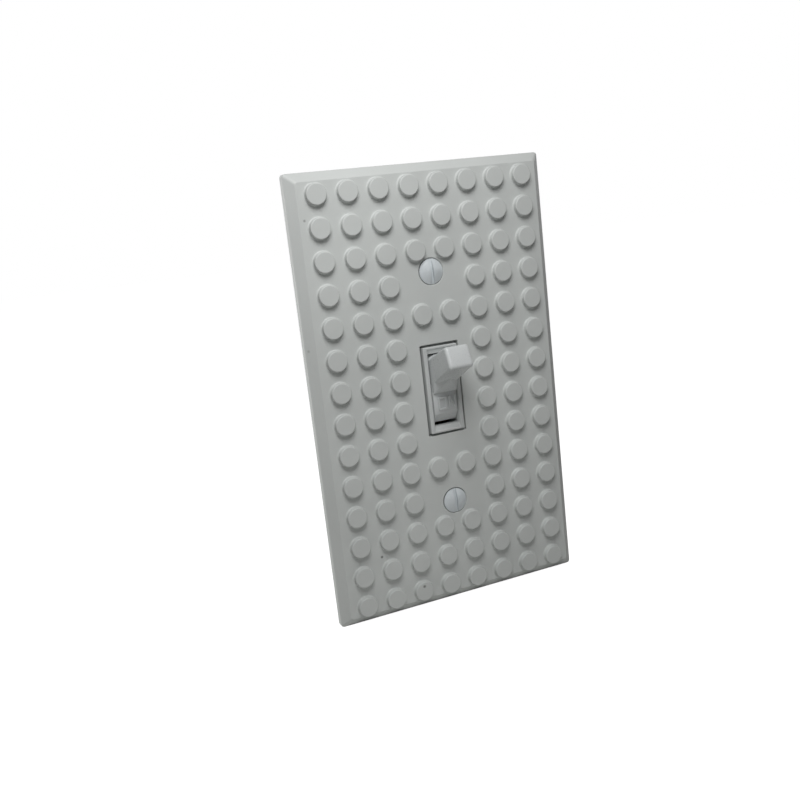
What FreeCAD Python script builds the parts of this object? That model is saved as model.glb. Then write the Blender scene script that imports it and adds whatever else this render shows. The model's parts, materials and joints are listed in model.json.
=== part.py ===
import FreeCAD, Part
import math
import os

from FreeCAD import Vector

# A single-gang toggle switch with its studded wall plate, in millimetres.
# X runs to the right, Y into the wall and Z up. The origin is the middle of the plate's back rim,
# which lies on the wall plane, so the studded face looks along -Y. The toggle is up, in its ON position.

# Wall plate
plate_width = 69.85
plate_height = 114.3
plate_depth = 4.2
plate_corner_radius = 0.8
bevel_width = 2.25
bevel_drop = 2.1
face_wall = 1.6
rim_wall = 2.2
screw_boss_radius = 4.4

# Studs on the plate's face
stud_pitch = 8.0
stud_diameter = 5.2
stud_sides = 24
stud_height = 1.4
stud_lowering = 0.25
stud_screw_clearance = 0.3

# Plate screws, number 6 oval heads
plate_screw_spacing = 60.325
screw_shank_radius = 1.74
screw_head_radius = 3.25
screw_head_dome = 0.85
screw_cone_angle = 41.0
screw_slot_width = 0.9
screw_slot_depth = 0.95
plate_screw_length = 12.7
plate_screw_turns = (8.0, 4.0)
head_seat_clearance = 0.12
shank_clearance = 0.25
thread_clearance = 0.06

# Mounting strap
strap_thickness = 1.0
strap_end_gap = 1.95
strap_side_inset = 0.5
strap_centre_overlap = 1.0
strap_ear_width = 34.0
strap_ear_length = 7.5
strap_corner_radius = 1.5
strap_window_clearance = 0.25

# Box screws and the fibre washers that hold them in the strap's slots
box_screw_spacing = 83.34
box_screw_length = 25.4
box_screw_head_radius = 3.4
box_screw_head_height = 1.3
box_screw_neck_radius = 1.45
box_slot_width = 4.2
box_slot_length = 7.2
retainer_size = 9.0
retainer_thickness = 0.4
retainer_clearance = 0.03

# Raised collar of the upper housing
collar_width = 9.6
collar_height = 22.5
collar_corner_radius = 0.25
collar_proud = 0.5
collar_plate_gap = 0.62
collar_mouth_width = 7.4
collar_throat_width = 7.0
collar_mouth_height = 21.2
collar_throat_height = 19.0
collar_lip_depth = 0.5
collar_foot_width = 11.2
collar_foot_height = 25.6
collar_foot_gap = 0.3

# Housing behind the strap
housing_width = 23.0
housing_height = 54.0
housing_corner_radius = 1.6
cover_thickness = 2.0
body_depth = 26.0
body_wall = 1.6
body_floor = 2.0
rivet_spacing = 44.0
rivet_radius = 1.5
rivet_hole_clearance = 0.08
rivet_head_radius = 2.7
rivet_head_height = 0.7
rivet_column_radius = 3.2

# Toggle, drawn straight out of the wall and then turned up about its pivot
toggle_tilt = 23.4
pivot_depth = 6.55
toggle_reach = 24.0
toggle_tip_width = 6.6
toggle_tip_height = 5.9
toggle_root_height = 7.0
toggle_base_width = 6.6
toggle_tip_rounding = 0.9
toggle_edge_rounding = 0.45
flare_point = 15.6
flare_shoulder = 12.6
flare_end = 10.35
flare_half_height = 5.35
flare_foot = (9.4, 4.2)
flare_sunk = 2.0
flare_side_inset = 0.05
base_radius = 12.75
panel_distance = 11.15
base_shell = 1.75
base_end_angle = 66.5
base_clearance = 0.3
hub_radius = 3.0
trunnion_radius = 1.7
trunnion_length = 2.05
trunnion_clearance = 0.08
bearing_side_gap = 0.25
bearing_half_height = 3.2
spring_nub_radius = 1.2
spring_nub_neck_radius = 0.9
toggle_nub_distance = 4.4

# Contact arm that the toggle's spring throws over
arm_pivot_depth = 20.5
arm_tilt = 9.0
arm_width = 4.4
arm_thickness = 0.8
arm_top_rise = 1.7
arm_nub_rise = 3.0
arm_tail = 8.0
arm_reach = 15.0
arm_pin_radius = 0.72
arm_pin_clearance = 0.08
arm_leg_radius = 1.3
arm_side_gap = 0.15

# Spring between the toggle and the contact arm
spring_outer_radius = 2.05
spring_wire_radius = 0.22
spring_turns = 6.0
spring_end_gap = 0.3

# Contacts
contact_radius = 1.8
contact_thickness = 0.9
contact_place = 13.0
contact_dome_radius = 4.0
contact_tail_radius = 0.9
contact_air = 0.1

# Brass terminals
terminal_thickness = 0.8
terminal_standoff = 1.6
terminal_strip_width = 5.0
terminal_plate_height = 9.0
terminal_plate_reach = 12.0
terminal_place = 12.0
terminal_slot_clearance = 0.1
terminal_screw_depth = 17.0
terminal_screw_head_radius = 3.6
terminal_screw_head_height = 2.0
terminal_screw_length = 5.5
terminal_screw_radius = 1.8
bumper_height = 2.3
bumper_length = 2.6

# Ground terminal on the strap
ground_leg_width = 6.4
ground_leg_length = 10.0
ground_foot_length = 4.4
ground_thickness = 0.8
ground_body_gap = 0.6
ground_boss_gap = 0.2
ground_screw_depth = 5.4
ground_screw_head_radius = 3.7
ground_screw_head_height = 2.4
ground_screw_length = 7.5
ground_rivet_radius = 0.9
ground_rivet_head_radius = 1.4
ground_rivet_head_height = 0.45

# Places that follow from the sizes above
face_y = -plate_depth
bevel_y = face_y + bevel_drop
face_inner_y = face_y + face_wall
strap_front_y = -strap_thickness
cavity_width = plate_width - 2 * rim_wall
cavity_height = plate_height - 2 * rim_wall
strap_length = cavity_height - 2 * strap_end_gap
strap_centre_width = housing_width - 2 * strap_side_inset
strap_centre_length = housing_height + 2 * strap_centre_overlap
ground_rivet_x = -(screw_boss_radius + ground_boss_gap + ground_rivet_head_radius)
ground_leg_x = ground_rivet_x - ground_foot_length / 2 - ground_thickness
ground_z = -(housing_height / 2 + ground_body_gap + ground_leg_width / 2)
strap_neck_width = -2 * ground_leg_x
box_screw_thread_y = retainer_thickness + retainer_clearance
collar_rim_y = face_y - collar_proud
collar_foot_y = face_inner_y + collar_foot_gap
body_front_y = cover_thickness
body_back_y = body_front_y + body_depth
floor_y = body_back_y - body_floor
strip_y = floor_y - terminal_standoff - terminal_thickness
housing_side_x = housing_width / 2
plate_screw_z = plate_screw_spacing / 2
box_screw_z = box_screw_spacing / 2
rivet_z = rivet_spacing / 2
opening_width = collar_width + 2 * collar_plate_gap
opening_height = collar_height + 2 * collar_plate_gap
seat_head_radius = screw_head_radius + head_seat_clearance
ear_half_gap = arm_width / 2 + arm_side_gap
side_up = (-1, 1)


def block(x0, x1, y0, y1, z0, z1):
    """A box between two corners."""
    return Part.makeBox(x1 - x0, y1 - y0, z1 - z0, Vector(x0, y0, z0))


def rod(radius, start, end):
    """A round bar from one point to another."""
    line = end - start
    return Part.makeCylinder(radius, line.Length, start, line)


def rod_y(radius, x, z, y0, y1):
    """A round bar along Y."""
    return rod(radius, Vector(x, y0, z), Vector(x, y1, z))


def cone_y(radius_0, radius_1, x, z, y0, y1):
    """A cone along Y."""
    return Part.makeCone(radius_0, radius_1, y1 - y0, Vector(x, y0, z), Vector(0, 1, 0))


def rounded_outline(width, height, radius, y):
    """A rectangle with round corners, upright at depth y, centred on the Y axis."""
    half_w = width / 2
    half_h = height / 2
    edges = []
    corners = [(1, 1, 0), (-1, 1, 90), (-1, -1, 180), (1, -1, 270)]
    points = []
    for sign_x, sign_z, start in corners:
        middle = Vector(sign_x * (half_w - radius), y, sign_z * (half_h - radius))
        arc = []
        for turn in (0, 45, 90):
            angle = math.radians(start + turn)
            arc.append(middle + Vector(radius * math.cos(angle), 0, radius * math.sin(angle)))
        points.append(arc)
    for index, arc in enumerate(points):
        following = points[(index + 1) % len(points)]
        edges.append(Part.Arc(*arc).toShape())
        edges.append(Part.LineSegment(arc[2], following[0]).toShape())
    return Part.Wire(edges)


def slab(width, height, radius, y0, y1):
    """A plate with round corners between two depths."""
    face = Part.Face(rounded_outline(width, height, radius, y0))
    return face.extrude(Vector(0, y1 - y0, 0))


def taper(width_0, height_0, y0, width_1, height_1, y1, radius):
    """A block whose outline changes evenly from one depth to another."""
    wires = [rounded_outline(width_0, height_0, radius, y0), rounded_outline(width_1, height_1, radius, y1)]
    return Part.makeLoft(wires, True, True)


def polygon_x(points, x0, x1):
    """A prism along X from (y, z) points."""
    corners = [Vector(x0, y, z) for y, z in points]
    face = Part.Face(Part.makePolygon(corners + corners[:1]))
    return face.extrude(Vector(x1 - x0, 0, 0))


def turned(shape, depth, angle):
    """A copy turned about the X line at this depth: a positive angle moves the front side down."""
    copy = shape.copy()
    copy.rotate(Vector(0, depth, 0), Vector(1, 0, 0), angle)
    return copy


def join(shapes):
    """One solid out of overlapping shapes."""
    return shapes[0].fuse(shapes[1:]).removeSplitter()


def stud_places():
    """Centres of the studs: a square grid, a little low, left open round the screws and the opening."""
    flat_width = plate_width - 2 * bevel_width
    flat_height = plate_height - 2 * bevel_width
    radius = stud_diameter / 2
    columns = int((flat_width - stud_diameter) / stud_pitch) + 1
    rows = int((flat_height - stud_diameter) / stud_pitch) + 1
    room = radius + screw_head_radius + stud_screw_clearance
    places = []
    for row in range(rows):
        z = ((rows - 1) / 2 - row) * stud_pitch - stud_lowering
        for column in range(columns):
            x = (column - (columns - 1) / 2) * stud_pitch
            near_screw = math.hypot(x, abs(z) - plate_screw_z) < room
            beside = abs(x) - radius < opening_width / 2
            level = abs(z) - radius < opening_height / 2
            if not near_screw and not (beside and level):
                places.append((x, z))
    return places


def stud(x, z):
    """One round stud on the plate's face, its circle in short straight sides to keep the plate light."""
    radius = stud_diameter / 2
    corners = []
    for side in range(stud_sides):
        angle = 2 * math.pi * side / stud_sides
        corners.append(Vector(x + radius * math.cos(angle), face_y, z + radius * math.sin(angle)))
    face = Part.Face(Part.makePolygon(corners + corners[:1]))
    return face.extrude(Vector(0, -stud_height, 0))


def screw_cone_depth(radius):
    """How deep a countersunk head of this radius reaches before it is as thin as its shank."""
    return (radius - screw_shank_radius) / math.tan(math.radians(screw_cone_angle))


def make_wall_plate():
    """The moulded plate: bevelled rim, hollow back, studs, countersinks and the switch opening."""
    flat_width = plate_width - 2 * bevel_width
    flat_height = plate_height - 2 * bevel_width
    rim = slab(plate_width, plate_height, plate_corner_radius, bevel_y, 0)
    bevel = taper(flat_width, flat_height, face_y, plate_width, plate_height, bevel_y, plate_corner_radius)
    cavity = slab(cavity_width, cavity_height, plate_corner_radius, face_inner_y, 1)
    plate = rim.fuse(bevel).removeSplitter().cut(cavity)
    studs = []
    for x, z in stud_places():
        studs.append(stud(x, z))
    bosses = []
    cuts = [slab(opening_width, opening_height, collar_corner_radius, face_y - 1, face_inner_y + 1)]
    for side in side_up:
        z = side * plate_screw_z
        bosses.append(rod_y(screw_boss_radius, 0, z, face_inner_y, strap_front_y))
        hole_radius = screw_shank_radius + shank_clearance
        cuts.append(rod_y(hole_radius, 0, z, face_y - 1, strap_front_y + 1))
        depth = screw_cone_depth(seat_head_radius)
        cuts.append(cone_y(seat_head_radius, screw_shank_radius, 0, z, face_y, face_y + depth))
    plate = plate.fuse(bosses).removeSplitter().cut(cuts)
    return plate.fuse(studs)


def make_plate_screws():
    """Two oval-head screws with straight slots, through the plate into the strap."""
    screws = []
    for side, turn in zip(side_up, plate_screw_turns):
        z = side * plate_screw_z
        cone_end_y = face_y + screw_cone_depth(screw_head_radius)
        cone = cone_y(screw_head_radius, screw_shank_radius, 0, z, face_y, cone_end_y)
        shank = rod_y(screw_shank_radius, 0, z, cone_end_y, face_y + plate_screw_length)
        dome_radius = (screw_head_radius**2 + screw_head_dome**2) / (2 * screw_head_dome)
        ball = Part.makeSphere(dome_radius, Vector(0, face_y - screw_head_dome + dome_radius, z))
        cap = ball.common(rod_y(screw_head_radius, 0, z, face_y - screw_head_dome - 1, face_y))
        slot_floor_y = face_y - screw_head_dome + screw_slot_depth
        half_slot = screw_slot_width / 2
        reach = screw_head_radius + 1
        slot = block(-half_slot, half_slot, face_y - screw_head_dome - 1, slot_floor_y, z - reach, z + reach)
        slot.rotate(Vector(0, 0, z), Vector(0, 1, 0), turn)
        screws.append(join([cone, shank, cap]).cut(slot))
    return screws


def make_mounting_strap():
    """The pressed steel strap: a wide middle, two necks and broad plaster ears."""
    ear_z = strap_length / 2 - strap_ear_length
    pieces = [
        slab(strap_centre_width, strap_centre_length, strap_corner_radius, strap_front_y, 0),
        slab(strap_neck_width, strap_length - strap_ear_length, strap_corner_radius, strap_front_y, 0),
    ]
    for side in side_up:
        ear = slab(strap_ear_width, strap_ear_length, strap_corner_radius, strap_front_y, 0)
        ear.translate(Vector(0, 0, side * (ear_z + strap_ear_length / 2)))
        pieces.append(ear)
    window_width = collar_foot_width + 2 * strap_window_clearance
    window_height = collar_foot_height + 2 * strap_window_clearance
    cuts = [slab(window_width, window_height, collar_corner_radius, strap_front_y - 1, 1)]
    for side in side_up:
        thread_radius = screw_shank_radius + thread_clearance
        cuts.append(rod_y(thread_radius, 0, side * plate_screw_z, strap_front_y - 1, 1))
        rivet_hole = rivet_radius + rivet_hole_clearance
        cuts.append(rod_y(rivet_hole, 0, side * rivet_z, strap_front_y - 1, 1))
        slot = slab(box_slot_length, box_slot_width, box_slot_width / 2 - 0.01, strap_front_y - 1, 1)
        slot.translate(Vector(0, 0, side * box_screw_z))
        cuts.append(slot)
    rivet_hole = ground_rivet_radius + rivet_hole_clearance
    cuts.append(rod_y(rivet_hole, ground_rivet_x, ground_z, strap_front_y - 1, 1))
    return [join(pieces).cut(cuts)]


def make_box_screws():
    """Two round-head screws that fasten the strap to the wall box."""
    screws = []
    for side in side_up:
        z = side * box_screw_z
        head = rod_y(box_screw_head_radius, 0, z, strap_front_y - box_screw_head_height, strap_front_y)
        head = head.makeFillet(box_screw_head_height * 0.6, [head.Edges[index] for index in top_edges(head)])
        neck = rod_y(box_screw_neck_radius, 0, z, strap_front_y, box_screw_thread_y)
        shank = rod_y(screw_shank_radius, 0, z, box_screw_thread_y, strap_front_y + box_screw_length)
        half_slot = screw_slot_width / 2
        reach = box_screw_head_radius + 1
        top_y = strap_front_y - box_screw_head_height
        floor = top_y + box_screw_head_height / 2
        slot = block(-reach, reach, top_y - 1, floor, z - half_slot, z + half_slot)
        screws.append(join([head, neck, shank]).cut(slot))
    return screws


def top_edges(shape):
    """Indexes of the edges on the shape's front plane."""
    front = shape.BoundBox.YMin
    found = []
    for index, edge in enumerate(shape.Edges):
        if edge.BoundBox.YMax < front + 1e-6:
            found.append(index)
    return found


def make_screw_retainers():
    """Two fibre washers behind the strap that keep the box screws in their slots."""
    retainers = []
    for side in side_up:
        z = side * box_screw_z
        half = retainer_size / 2
        washer = block(-half, half, 0, retainer_thickness, z - half, z + half)
        hole = rod_y(box_screw_neck_radius + retainer_clearance, 0, z, -1, retainer_thickness + 1)
        retainers.append(washer.cut(hole))
    return retainers


def sweep_room():
    """The space that the toggle's round base needs inside the collar and cover."""
    half = collar_throat_width / 2
    radius = base_radius + base_clearance
    return rod(radius, Vector(-half, pivot_depth, 0), Vector(half, pivot_depth, 0))


def make_collar_cover():
    """The upper housing: a flat cover whose collar stands up through the strap and the plate."""
    cover = slab(housing_width, housing_height, housing_corner_radius, 0, cover_thickness)
    foot = slab(collar_foot_width, collar_foot_height, collar_corner_radius, collar_foot_y, 0)
    collar = slab(collar_width, collar_height, collar_corner_radius, collar_rim_y, collar_foot_y)
    keepers = []
    bearing_x = collar_throat_width / 2
    for side in side_up:
        inner = side * (bearing_x + bearing_side_gap)
        outer = side * (bearing_x + trunnion_length - bearing_side_gap)
        half = trunnion_radius
        x0, x1 = sorted((inner, outer))
        keepers.append(block(x0, x1, cover_thickness - 0.2, pivot_depth, -half, half))
    throat = block(-bearing_x, bearing_x, collar_rim_y - 1, cover_thickness + 1,
                   -collar_throat_height / 2, collar_throat_height / 2)
    mouth = taper(collar_mouth_width, collar_mouth_height, collar_rim_y,
                  collar_throat_width, collar_throat_height, collar_rim_y + collar_lip_depth, 0.05)
    bearing = rod(trunnion_radius + trunnion_clearance,
                  Vector(-housing_side_x, pivot_depth, 0), Vector(housing_side_x, pivot_depth, 0))
    cuts = [throat, mouth, sweep_room(), bearing]
    for side in side_up:
        rivet_hole = rivet_radius + rivet_hole_clearance
        cuts.append(rod_y(rivet_hole, 0, side * rivet_z, -1, cover_thickness + 1))
    return [join([cover, foot, collar] + keepers).cut(cuts)]


def make_switch_body():
    """The rear housing: an open box with rivet columns, toggle bearings and terminal seats."""
    outer = slab(housing_width, housing_height, housing_corner_radius, body_front_y, body_back_y)
    inner_width = housing_width - 2 * body_wall
    inner_height = housing_height - 2 * body_wall
    cavity = slab(inner_width, inner_height, housing_corner_radius / 2, body_front_y - 1, floor_y)
    pieces = [outer.cut(cavity)]
    cuts = []
    bearing_x = collar_throat_width / 2
    for side in side_up:
        pieces.append(rod_y(rivet_column_radius, 0, side * rivet_z, body_front_y, floor_y))
        rivet_hole = rivet_radius + rivet_hole_clearance
        cuts.append(rod_y(rivet_hole, 0, side * rivet_z, body_front_y - 1, body_back_y + 1))
        x0, x1 = sorted((side * bearing_x, side * (housing_side_x - body_wall / 2)))
        pieces.append(block(x0, x1, body_front_y, floor_y, -bearing_half_height, bearing_half_height))
        slot_radius = trunnion_radius + trunnion_clearance
        slot_end = bearing_x + trunnion_length + bearing_side_gap
        x0, x1 = sorted((side * (bearing_x - 1), side * slot_end))
        cuts.append(block(x0, x1, body_front_y - 1, pivot_depth, -slot_radius, slot_radius))
        cuts.append(rod(slot_radius, Vector(x0, pivot_depth, 0), Vector(x1, pivot_depth, 0)))
    pieces += terminal_seats()
    cuts += terminal_slots()
    return [join(pieces).cut(cuts)]


def terminal_seats():
    """Pads on the floor of the body that carry the brass strips."""
    half = terminal_strip_width / 2
    seat_y = strip_y + terminal_thickness
    seats = [block(-half, half, seat_y, floor_y, terminal_place - half, terminal_place + half)]
    seats.append(block(-half, half, seat_y, floor_y, -terminal_place - half, arm_leg_radius))
    return seats


def terminal_slots():
    """Slots in the body's right wall for the strips, and bores for the terminal screws and contact tail."""
    cuts = []
    gap = terminal_slot_clearance
    half = terminal_strip_width / 2
    inner_x = housing_side_x - body_wall - 1
    for side in side_up:
        z = side * terminal_place
        slot_y1 = strip_y + terminal_thickness + gap
        room = half + gap
        cuts.append(block(inner_x, housing_side_x + 1, strip_y - gap, slot_y1, z - room, z + room))
        start = Vector(inner_x, terminal_screw_depth, z)
        end = Vector(housing_side_x + 1, terminal_screw_depth, z)
        cuts.append(rod(terminal_screw_radius + shank_clearance, start, end))
    tail_radius = contact_tail_radius + shank_clearance
    cuts.append(rod_y(tail_radius, 0, fixed_contact_centre().z, strip_y, floor_y - terminal_standoff / 2))
    return cuts


def panel_points(side):
    """The lettered flat on one side of the straight toggle, from the lever's root to its crease."""
    angle = math.radians(side * toggle_tilt)
    crease = angle + side * math.acos(panel_distance / base_radius)
    root_z = side * toggle_root_height / 2
    root_y = (panel_distance - root_z * math.sin(angle)) / math.cos(angle)
    root = (pivot_depth - root_y, root_z)
    end = (pivot_depth - base_radius * math.cos(crease), base_radius * math.sin(crease))
    return root, end, crease


def make_toggle_lever():
    """The toggle in one moulding: lever, base with two lettered flats, hub, trunnions and spring nub."""
    tip_y = pivot_depth - toggle_reach
    half_tip = toggle_tip_height / 2
    lower_root, lower_end, lower_crease = panel_points(-1)
    upper_root, upper_end, upper_crease = panel_points(1)
    half_base = toggle_base_width / 2
    end_angle = math.radians(base_end_angle)
    edges = []

    def on_base(angle):
        return (pivot_depth - base_radius * math.cos(angle), base_radius * math.sin(angle))

    def point(pair):
        return Vector(-half_base, pair[0], pair[1])

    def line(first, second):
        edges.append(Part.LineSegment(point(first), point(second)).toShape())

    def arc(first, last):
        middle = (first + last) / 2
        edges.append(Part.Arc(point(on_base(first)), point(on_base(middle)), point(on_base(last))).toShape())

    line(lower_root, lower_end)
    arc(lower_crease, -end_angle)
    line(on_base(-end_angle), (pivot_depth, 0))
    line((pivot_depth, 0), on_base(end_angle))
    arc(end_angle, upper_crease)
    line(upper_end, upper_root)
    line(upper_root, lower_root)
    base = Part.Face(Part.Wire(edges)).extrude(Vector(toggle_base_width, 0, 0))
    inner_radius = panel_distance - base_shell
    web_half = toggle_root_height / 2
    hollow = rod(inner_radius, Vector(-half_base - 1, pivot_depth, 0), Vector(half_base + 1, pivot_depth, 0))
    web = block(-half_base - 2, half_base + 2, -plate_depth - base_radius, pivot_depth, -web_half, web_half)
    base = base.cut(hollow.cut(web))
    root_y = lower_root[0] + base_shell
    lever = make_lever_block(tip_y, half_tip, root_y)
    flares = [make_flare(side, root_y) for side in side_up]
    hub = rod(hub_radius, Vector(-half_base, pivot_depth, 0), Vector(half_base, pivot_depth, 0))
    reach = collar_throat_width / 2 + trunnion_length
    trunnions = rod(trunnion_radius, Vector(-reach, pivot_depth, 0), Vector(reach, pivot_depth, 0))
    nub_y = pivot_depth + toggle_nub_distance
    neck = rod_y(spring_nub_neck_radius, 0, 0, pivot_depth, nub_y)
    nub = Part.makeSphere(spring_nub_radius, Vector(0, nub_y, 0))
    toggle = join([base, lever, hub, trunnions, neck, nub] + flares)
    return [turned(toggle, pivot_depth, -toggle_tilt)]


def make_lever_block(tip_y, half_tip, root_y):
    """The tapered handle, a little thinner and narrower at its tip, with rounded edges."""
    half_root = toggle_root_height / 2
    half_base = toggle_base_width / 2
    half_width = toggle_tip_width / 2
    tip = [Vector(-half_width, tip_y, -half_tip), Vector(half_width, tip_y, -half_tip),
           Vector(half_width, tip_y, half_tip), Vector(-half_width, tip_y, half_tip)]
    root = [Vector(-half_base, root_y, -half_root), Vector(half_base, root_y, -half_root),
            Vector(half_base, root_y, half_root), Vector(-half_base, root_y, half_root)]
    wires = [Part.makePolygon(tip + tip[:1]), Part.makePolygon(root + root[:1])]
    handle = Part.makeLoft(wires, True, True)
    side_edges = []
    tip_edges = []
    for edge in handle.Edges:
        box = edge.BoundBox
        at_tip = box.YMax < tip_y + 1e-6
        if at_tip and box.XLength < 1e-6:
            side_edges.append(edge)
        elif at_tip:
            tip_edges.append(edge)
    handle = handle.makeFillet(toggle_tip_rounding, side_edges)
    front_edges = []
    for edge in handle.Edges:
        box = edge.BoundBox
        if box.YMax < tip_y + toggle_tip_rounding + 1e-3 and box.ZLength < 1.0 and box.XLength > 1.0:
            front_edges.append(edge)
    return handle.makeFillet(toggle_edge_rounding, front_edges)


def make_flare(side, root_y):
    """The wedge that thickens one side of the lever's root: it is pointed and stands proud of the flat."""
    root = pivot_depth - root_y
    half_x = toggle_base_width / 2 - flare_side_inset

    def skin(distance):
        share = (distance - root) / (toggle_reach - root)
        return (toggle_root_height + (toggle_tip_height - toggle_root_height) * share) / 2

    def corner(x, distance, height):
        return Vector(x, pivot_depth - distance, side * height)

    tip = corner(0, flare_point, skin(flare_point))
    tip_sunk = corner(0, flare_point, flare_sunk)
    edges = []
    for x in (-half_x, half_x):
        edges.append([
            corner(x, flare_shoulder, skin(flare_shoulder)),
            corner(x, flare_end, flare_half_height),
            corner(x, *flare_foot),
            corner(x, flare_foot[0], flare_sunk),
            corner(x, flare_shoulder, flare_sunk),
        ])
    left, right = edges
    outlines = [left, right, [tip, left[0], left[1]], [tip, left[1], right[1]], [tip, right[1], right[0]]]
    for index in (1, 2):
        outlines.append([left[index], left[index + 1], right[index + 1], right[index]])
    outlines.append([left[3], left[4], tip_sunk, right[4], right[3]])
    for edge in edges:
        outlines.append([edge[0], edge[4], tip_sunk, tip])
    faces = [Part.Face(Part.makePolygon(points + points[:1])) for points in outlines]
    solid = Part.makeSolid(Part.makeShell(faces))
    if solid.Volume < 0:
        solid.reverse()
    return solid


def arm_point(y, z):
    """A point given in the level contact arm, from its pivot, turned to where the arm rests."""
    angle = math.radians(-arm_tilt)
    turned_y = y * math.cos(angle) - z * math.sin(angle)
    turned_z = y * math.sin(angle) + z * math.cos(angle)
    return Vector(0, arm_pivot_depth + turned_y, turned_z)


def make_contact_arm():
    """The brass arm that rocks on its pins, with a nub for the spring on its back."""
    half = arm_width / 2
    top_y = arm_pivot_depth - arm_top_rise
    strip = block(-half, half, top_y, top_y + arm_thickness, -arm_tail, arm_reach)
    pieces = [strip]
    for side in side_up:
        x0, x1 = sorted((side * half, side * (half - arm_thickness)))
        leg = block(x0, x1, top_y, arm_pivot_depth, -arm_leg_radius, arm_leg_radius)
        eye = rod(arm_leg_radius, Vector(x0, arm_pivot_depth, 0), Vector(x1, arm_pivot_depth, 0))
        pieces += [leg, eye]
    pin_reach = ear_half_gap + terminal_thickness
    pin_start = Vector(-pin_reach, arm_pivot_depth, 0)
    pin_end = Vector(pin_reach, arm_pivot_depth, 0)
    pieces.append(rod(arm_pin_radius, pin_start, pin_end))
    nub_y = arm_pivot_depth - arm_nub_rise
    pieces.append(rod_y(spring_nub_neck_radius, 0, 0, nub_y, top_y + arm_thickness))
    pieces.append(Part.makeSphere(spring_nub_radius, Vector(0, nub_y, 0)))
    arm = join(pieces)
    hole = rod_y(contact_tail_radius, 0, contact_place, top_y - 1, top_y + arm_thickness + 1)
    return [turned(arm.cut(hole), arm_pivot_depth, -arm_tilt)]


def make_moving_contact():
    """The silver rivet near the end of the arm."""
    top_y = arm_pivot_depth - arm_top_rise
    face = top_y + arm_thickness
    head = rod_y(contact_radius, 0, contact_place, face, face + contact_thickness)
    tail = rod_y(contact_tail_radius, 0, contact_place, top_y, face)
    return [turned(join([head, tail]), arm_pivot_depth, -arm_tilt)]


def fixed_contact_centre():
    """Centre of the fixed contact's dome, which the moving contact's flat face meets when it is closed."""
    face = arm_thickness - arm_top_rise + contact_thickness
    return arm_point(face + contact_air + contact_dome_radius, contact_place)


def make_fixed_contact():
    """The domed silver rivet on the line terminal."""
    centre = fixed_contact_centre()
    ball = Part.makeSphere(contact_dome_radius, centre)
    head = rod_y(contact_radius, 0, centre.z, centre.y - contact_dome_radius - 1, strip_y).common(ball)
    skirt_y = centre.y - math.sqrt(contact_dome_radius**2 - contact_radius**2)
    skirt = rod_y(contact_radius, 0, centre.z, skirt_y, strip_y)
    tail = rod_y(contact_tail_radius, 0, centre.z, strip_y, strip_y + terminal_thickness)
    return [join([head, skirt, tail])]


def terminal_strip(side):
    """The strip and outside plate that both brass terminals share."""
    half = terminal_strip_width / 2
    z = side * terminal_place
    strip_end_y = strip_y + terminal_thickness
    outer_x = housing_side_x + terminal_thickness
    strip = block(-half, outer_x, strip_y, strip_end_y, z - half, z + half)
    plate_half = terminal_plate_height / 2
    plate = block(housing_side_x, outer_x, strip_end_y - terminal_plate_reach, strip_end_y,
                  z - plate_half, z + plate_half)
    start = Vector(housing_side_x - 1, terminal_screw_depth, z)
    hole = rod(terminal_screw_radius + thread_clearance, start, Vector(outer_x + 1, terminal_screw_depth, z))
    return join([strip, plate]).cut(hole)


def make_line_terminal():
    """The brass terminal that carries the fixed contact."""
    centre = fixed_contact_centre()
    hole = rod_y(contact_tail_radius, 0, centre.z, strip_y - 1, strip_y + terminal_thickness + 1)
    return [terminal_strip(1).cut(hole)]


def make_load_terminal():
    """The brass terminal whose two ears hold the contact arm's pins."""
    half = terminal_strip_width / 2
    outer = ear_half_gap + terminal_thickness
    strip_end_y = strip_y + terminal_thickness
    bridge = block(-half, half, strip_y, strip_end_y, -terminal_place, arm_leg_radius)
    pieces = [terminal_strip(-1), bridge]
    pieces.append(block(-outer, outer, strip_y, strip_end_y, -arm_leg_radius, arm_leg_radius))
    for side in side_up:
        x0, x1 = sorted((side * ear_half_gap, side * outer))
        ear = block(x0, x1, arm_pivot_depth, strip_end_y, -arm_leg_radius, arm_leg_radius)
        crown = rod(arm_leg_radius, Vector(x0, arm_pivot_depth, 0), Vector(x1, arm_pivot_depth, 0))
        pieces += [ear, crown]
    eye = rod(arm_pin_radius + arm_pin_clearance,
              Vector(-outer - 1, arm_pivot_depth, 0), Vector(outer + 1, arm_pivot_depth, 0))
    return [join(pieces).cut(eye)]


def make_terminal_screws():
    """Two binding-head screws on the right-hand side of the body."""
    screws = []
    outer_x = housing_side_x + terminal_thickness
    for side in side_up:
        z = side * terminal_place
        start = Vector(outer_x, terminal_screw_depth, z)
        head_end = start + Vector(terminal_screw_head_height, 0, 0)
        shank_end = start - Vector(terminal_screw_length, 0, 0)
        head = rod(terminal_screw_head_radius, start, head_end)
        shank = rod(terminal_screw_radius, shank_end, start)
        half_slot = screw_slot_width / 2
        reach = terminal_screw_head_radius + 1
        slot = block(head_end.x - terminal_screw_head_height / 2, head_end.x + 1,
                     terminal_screw_depth - reach, terminal_screw_depth + reach, z - half_slot, z + half_slot)
        screws.append(join([head, shank]).cut(slot))
    return screws


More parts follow.
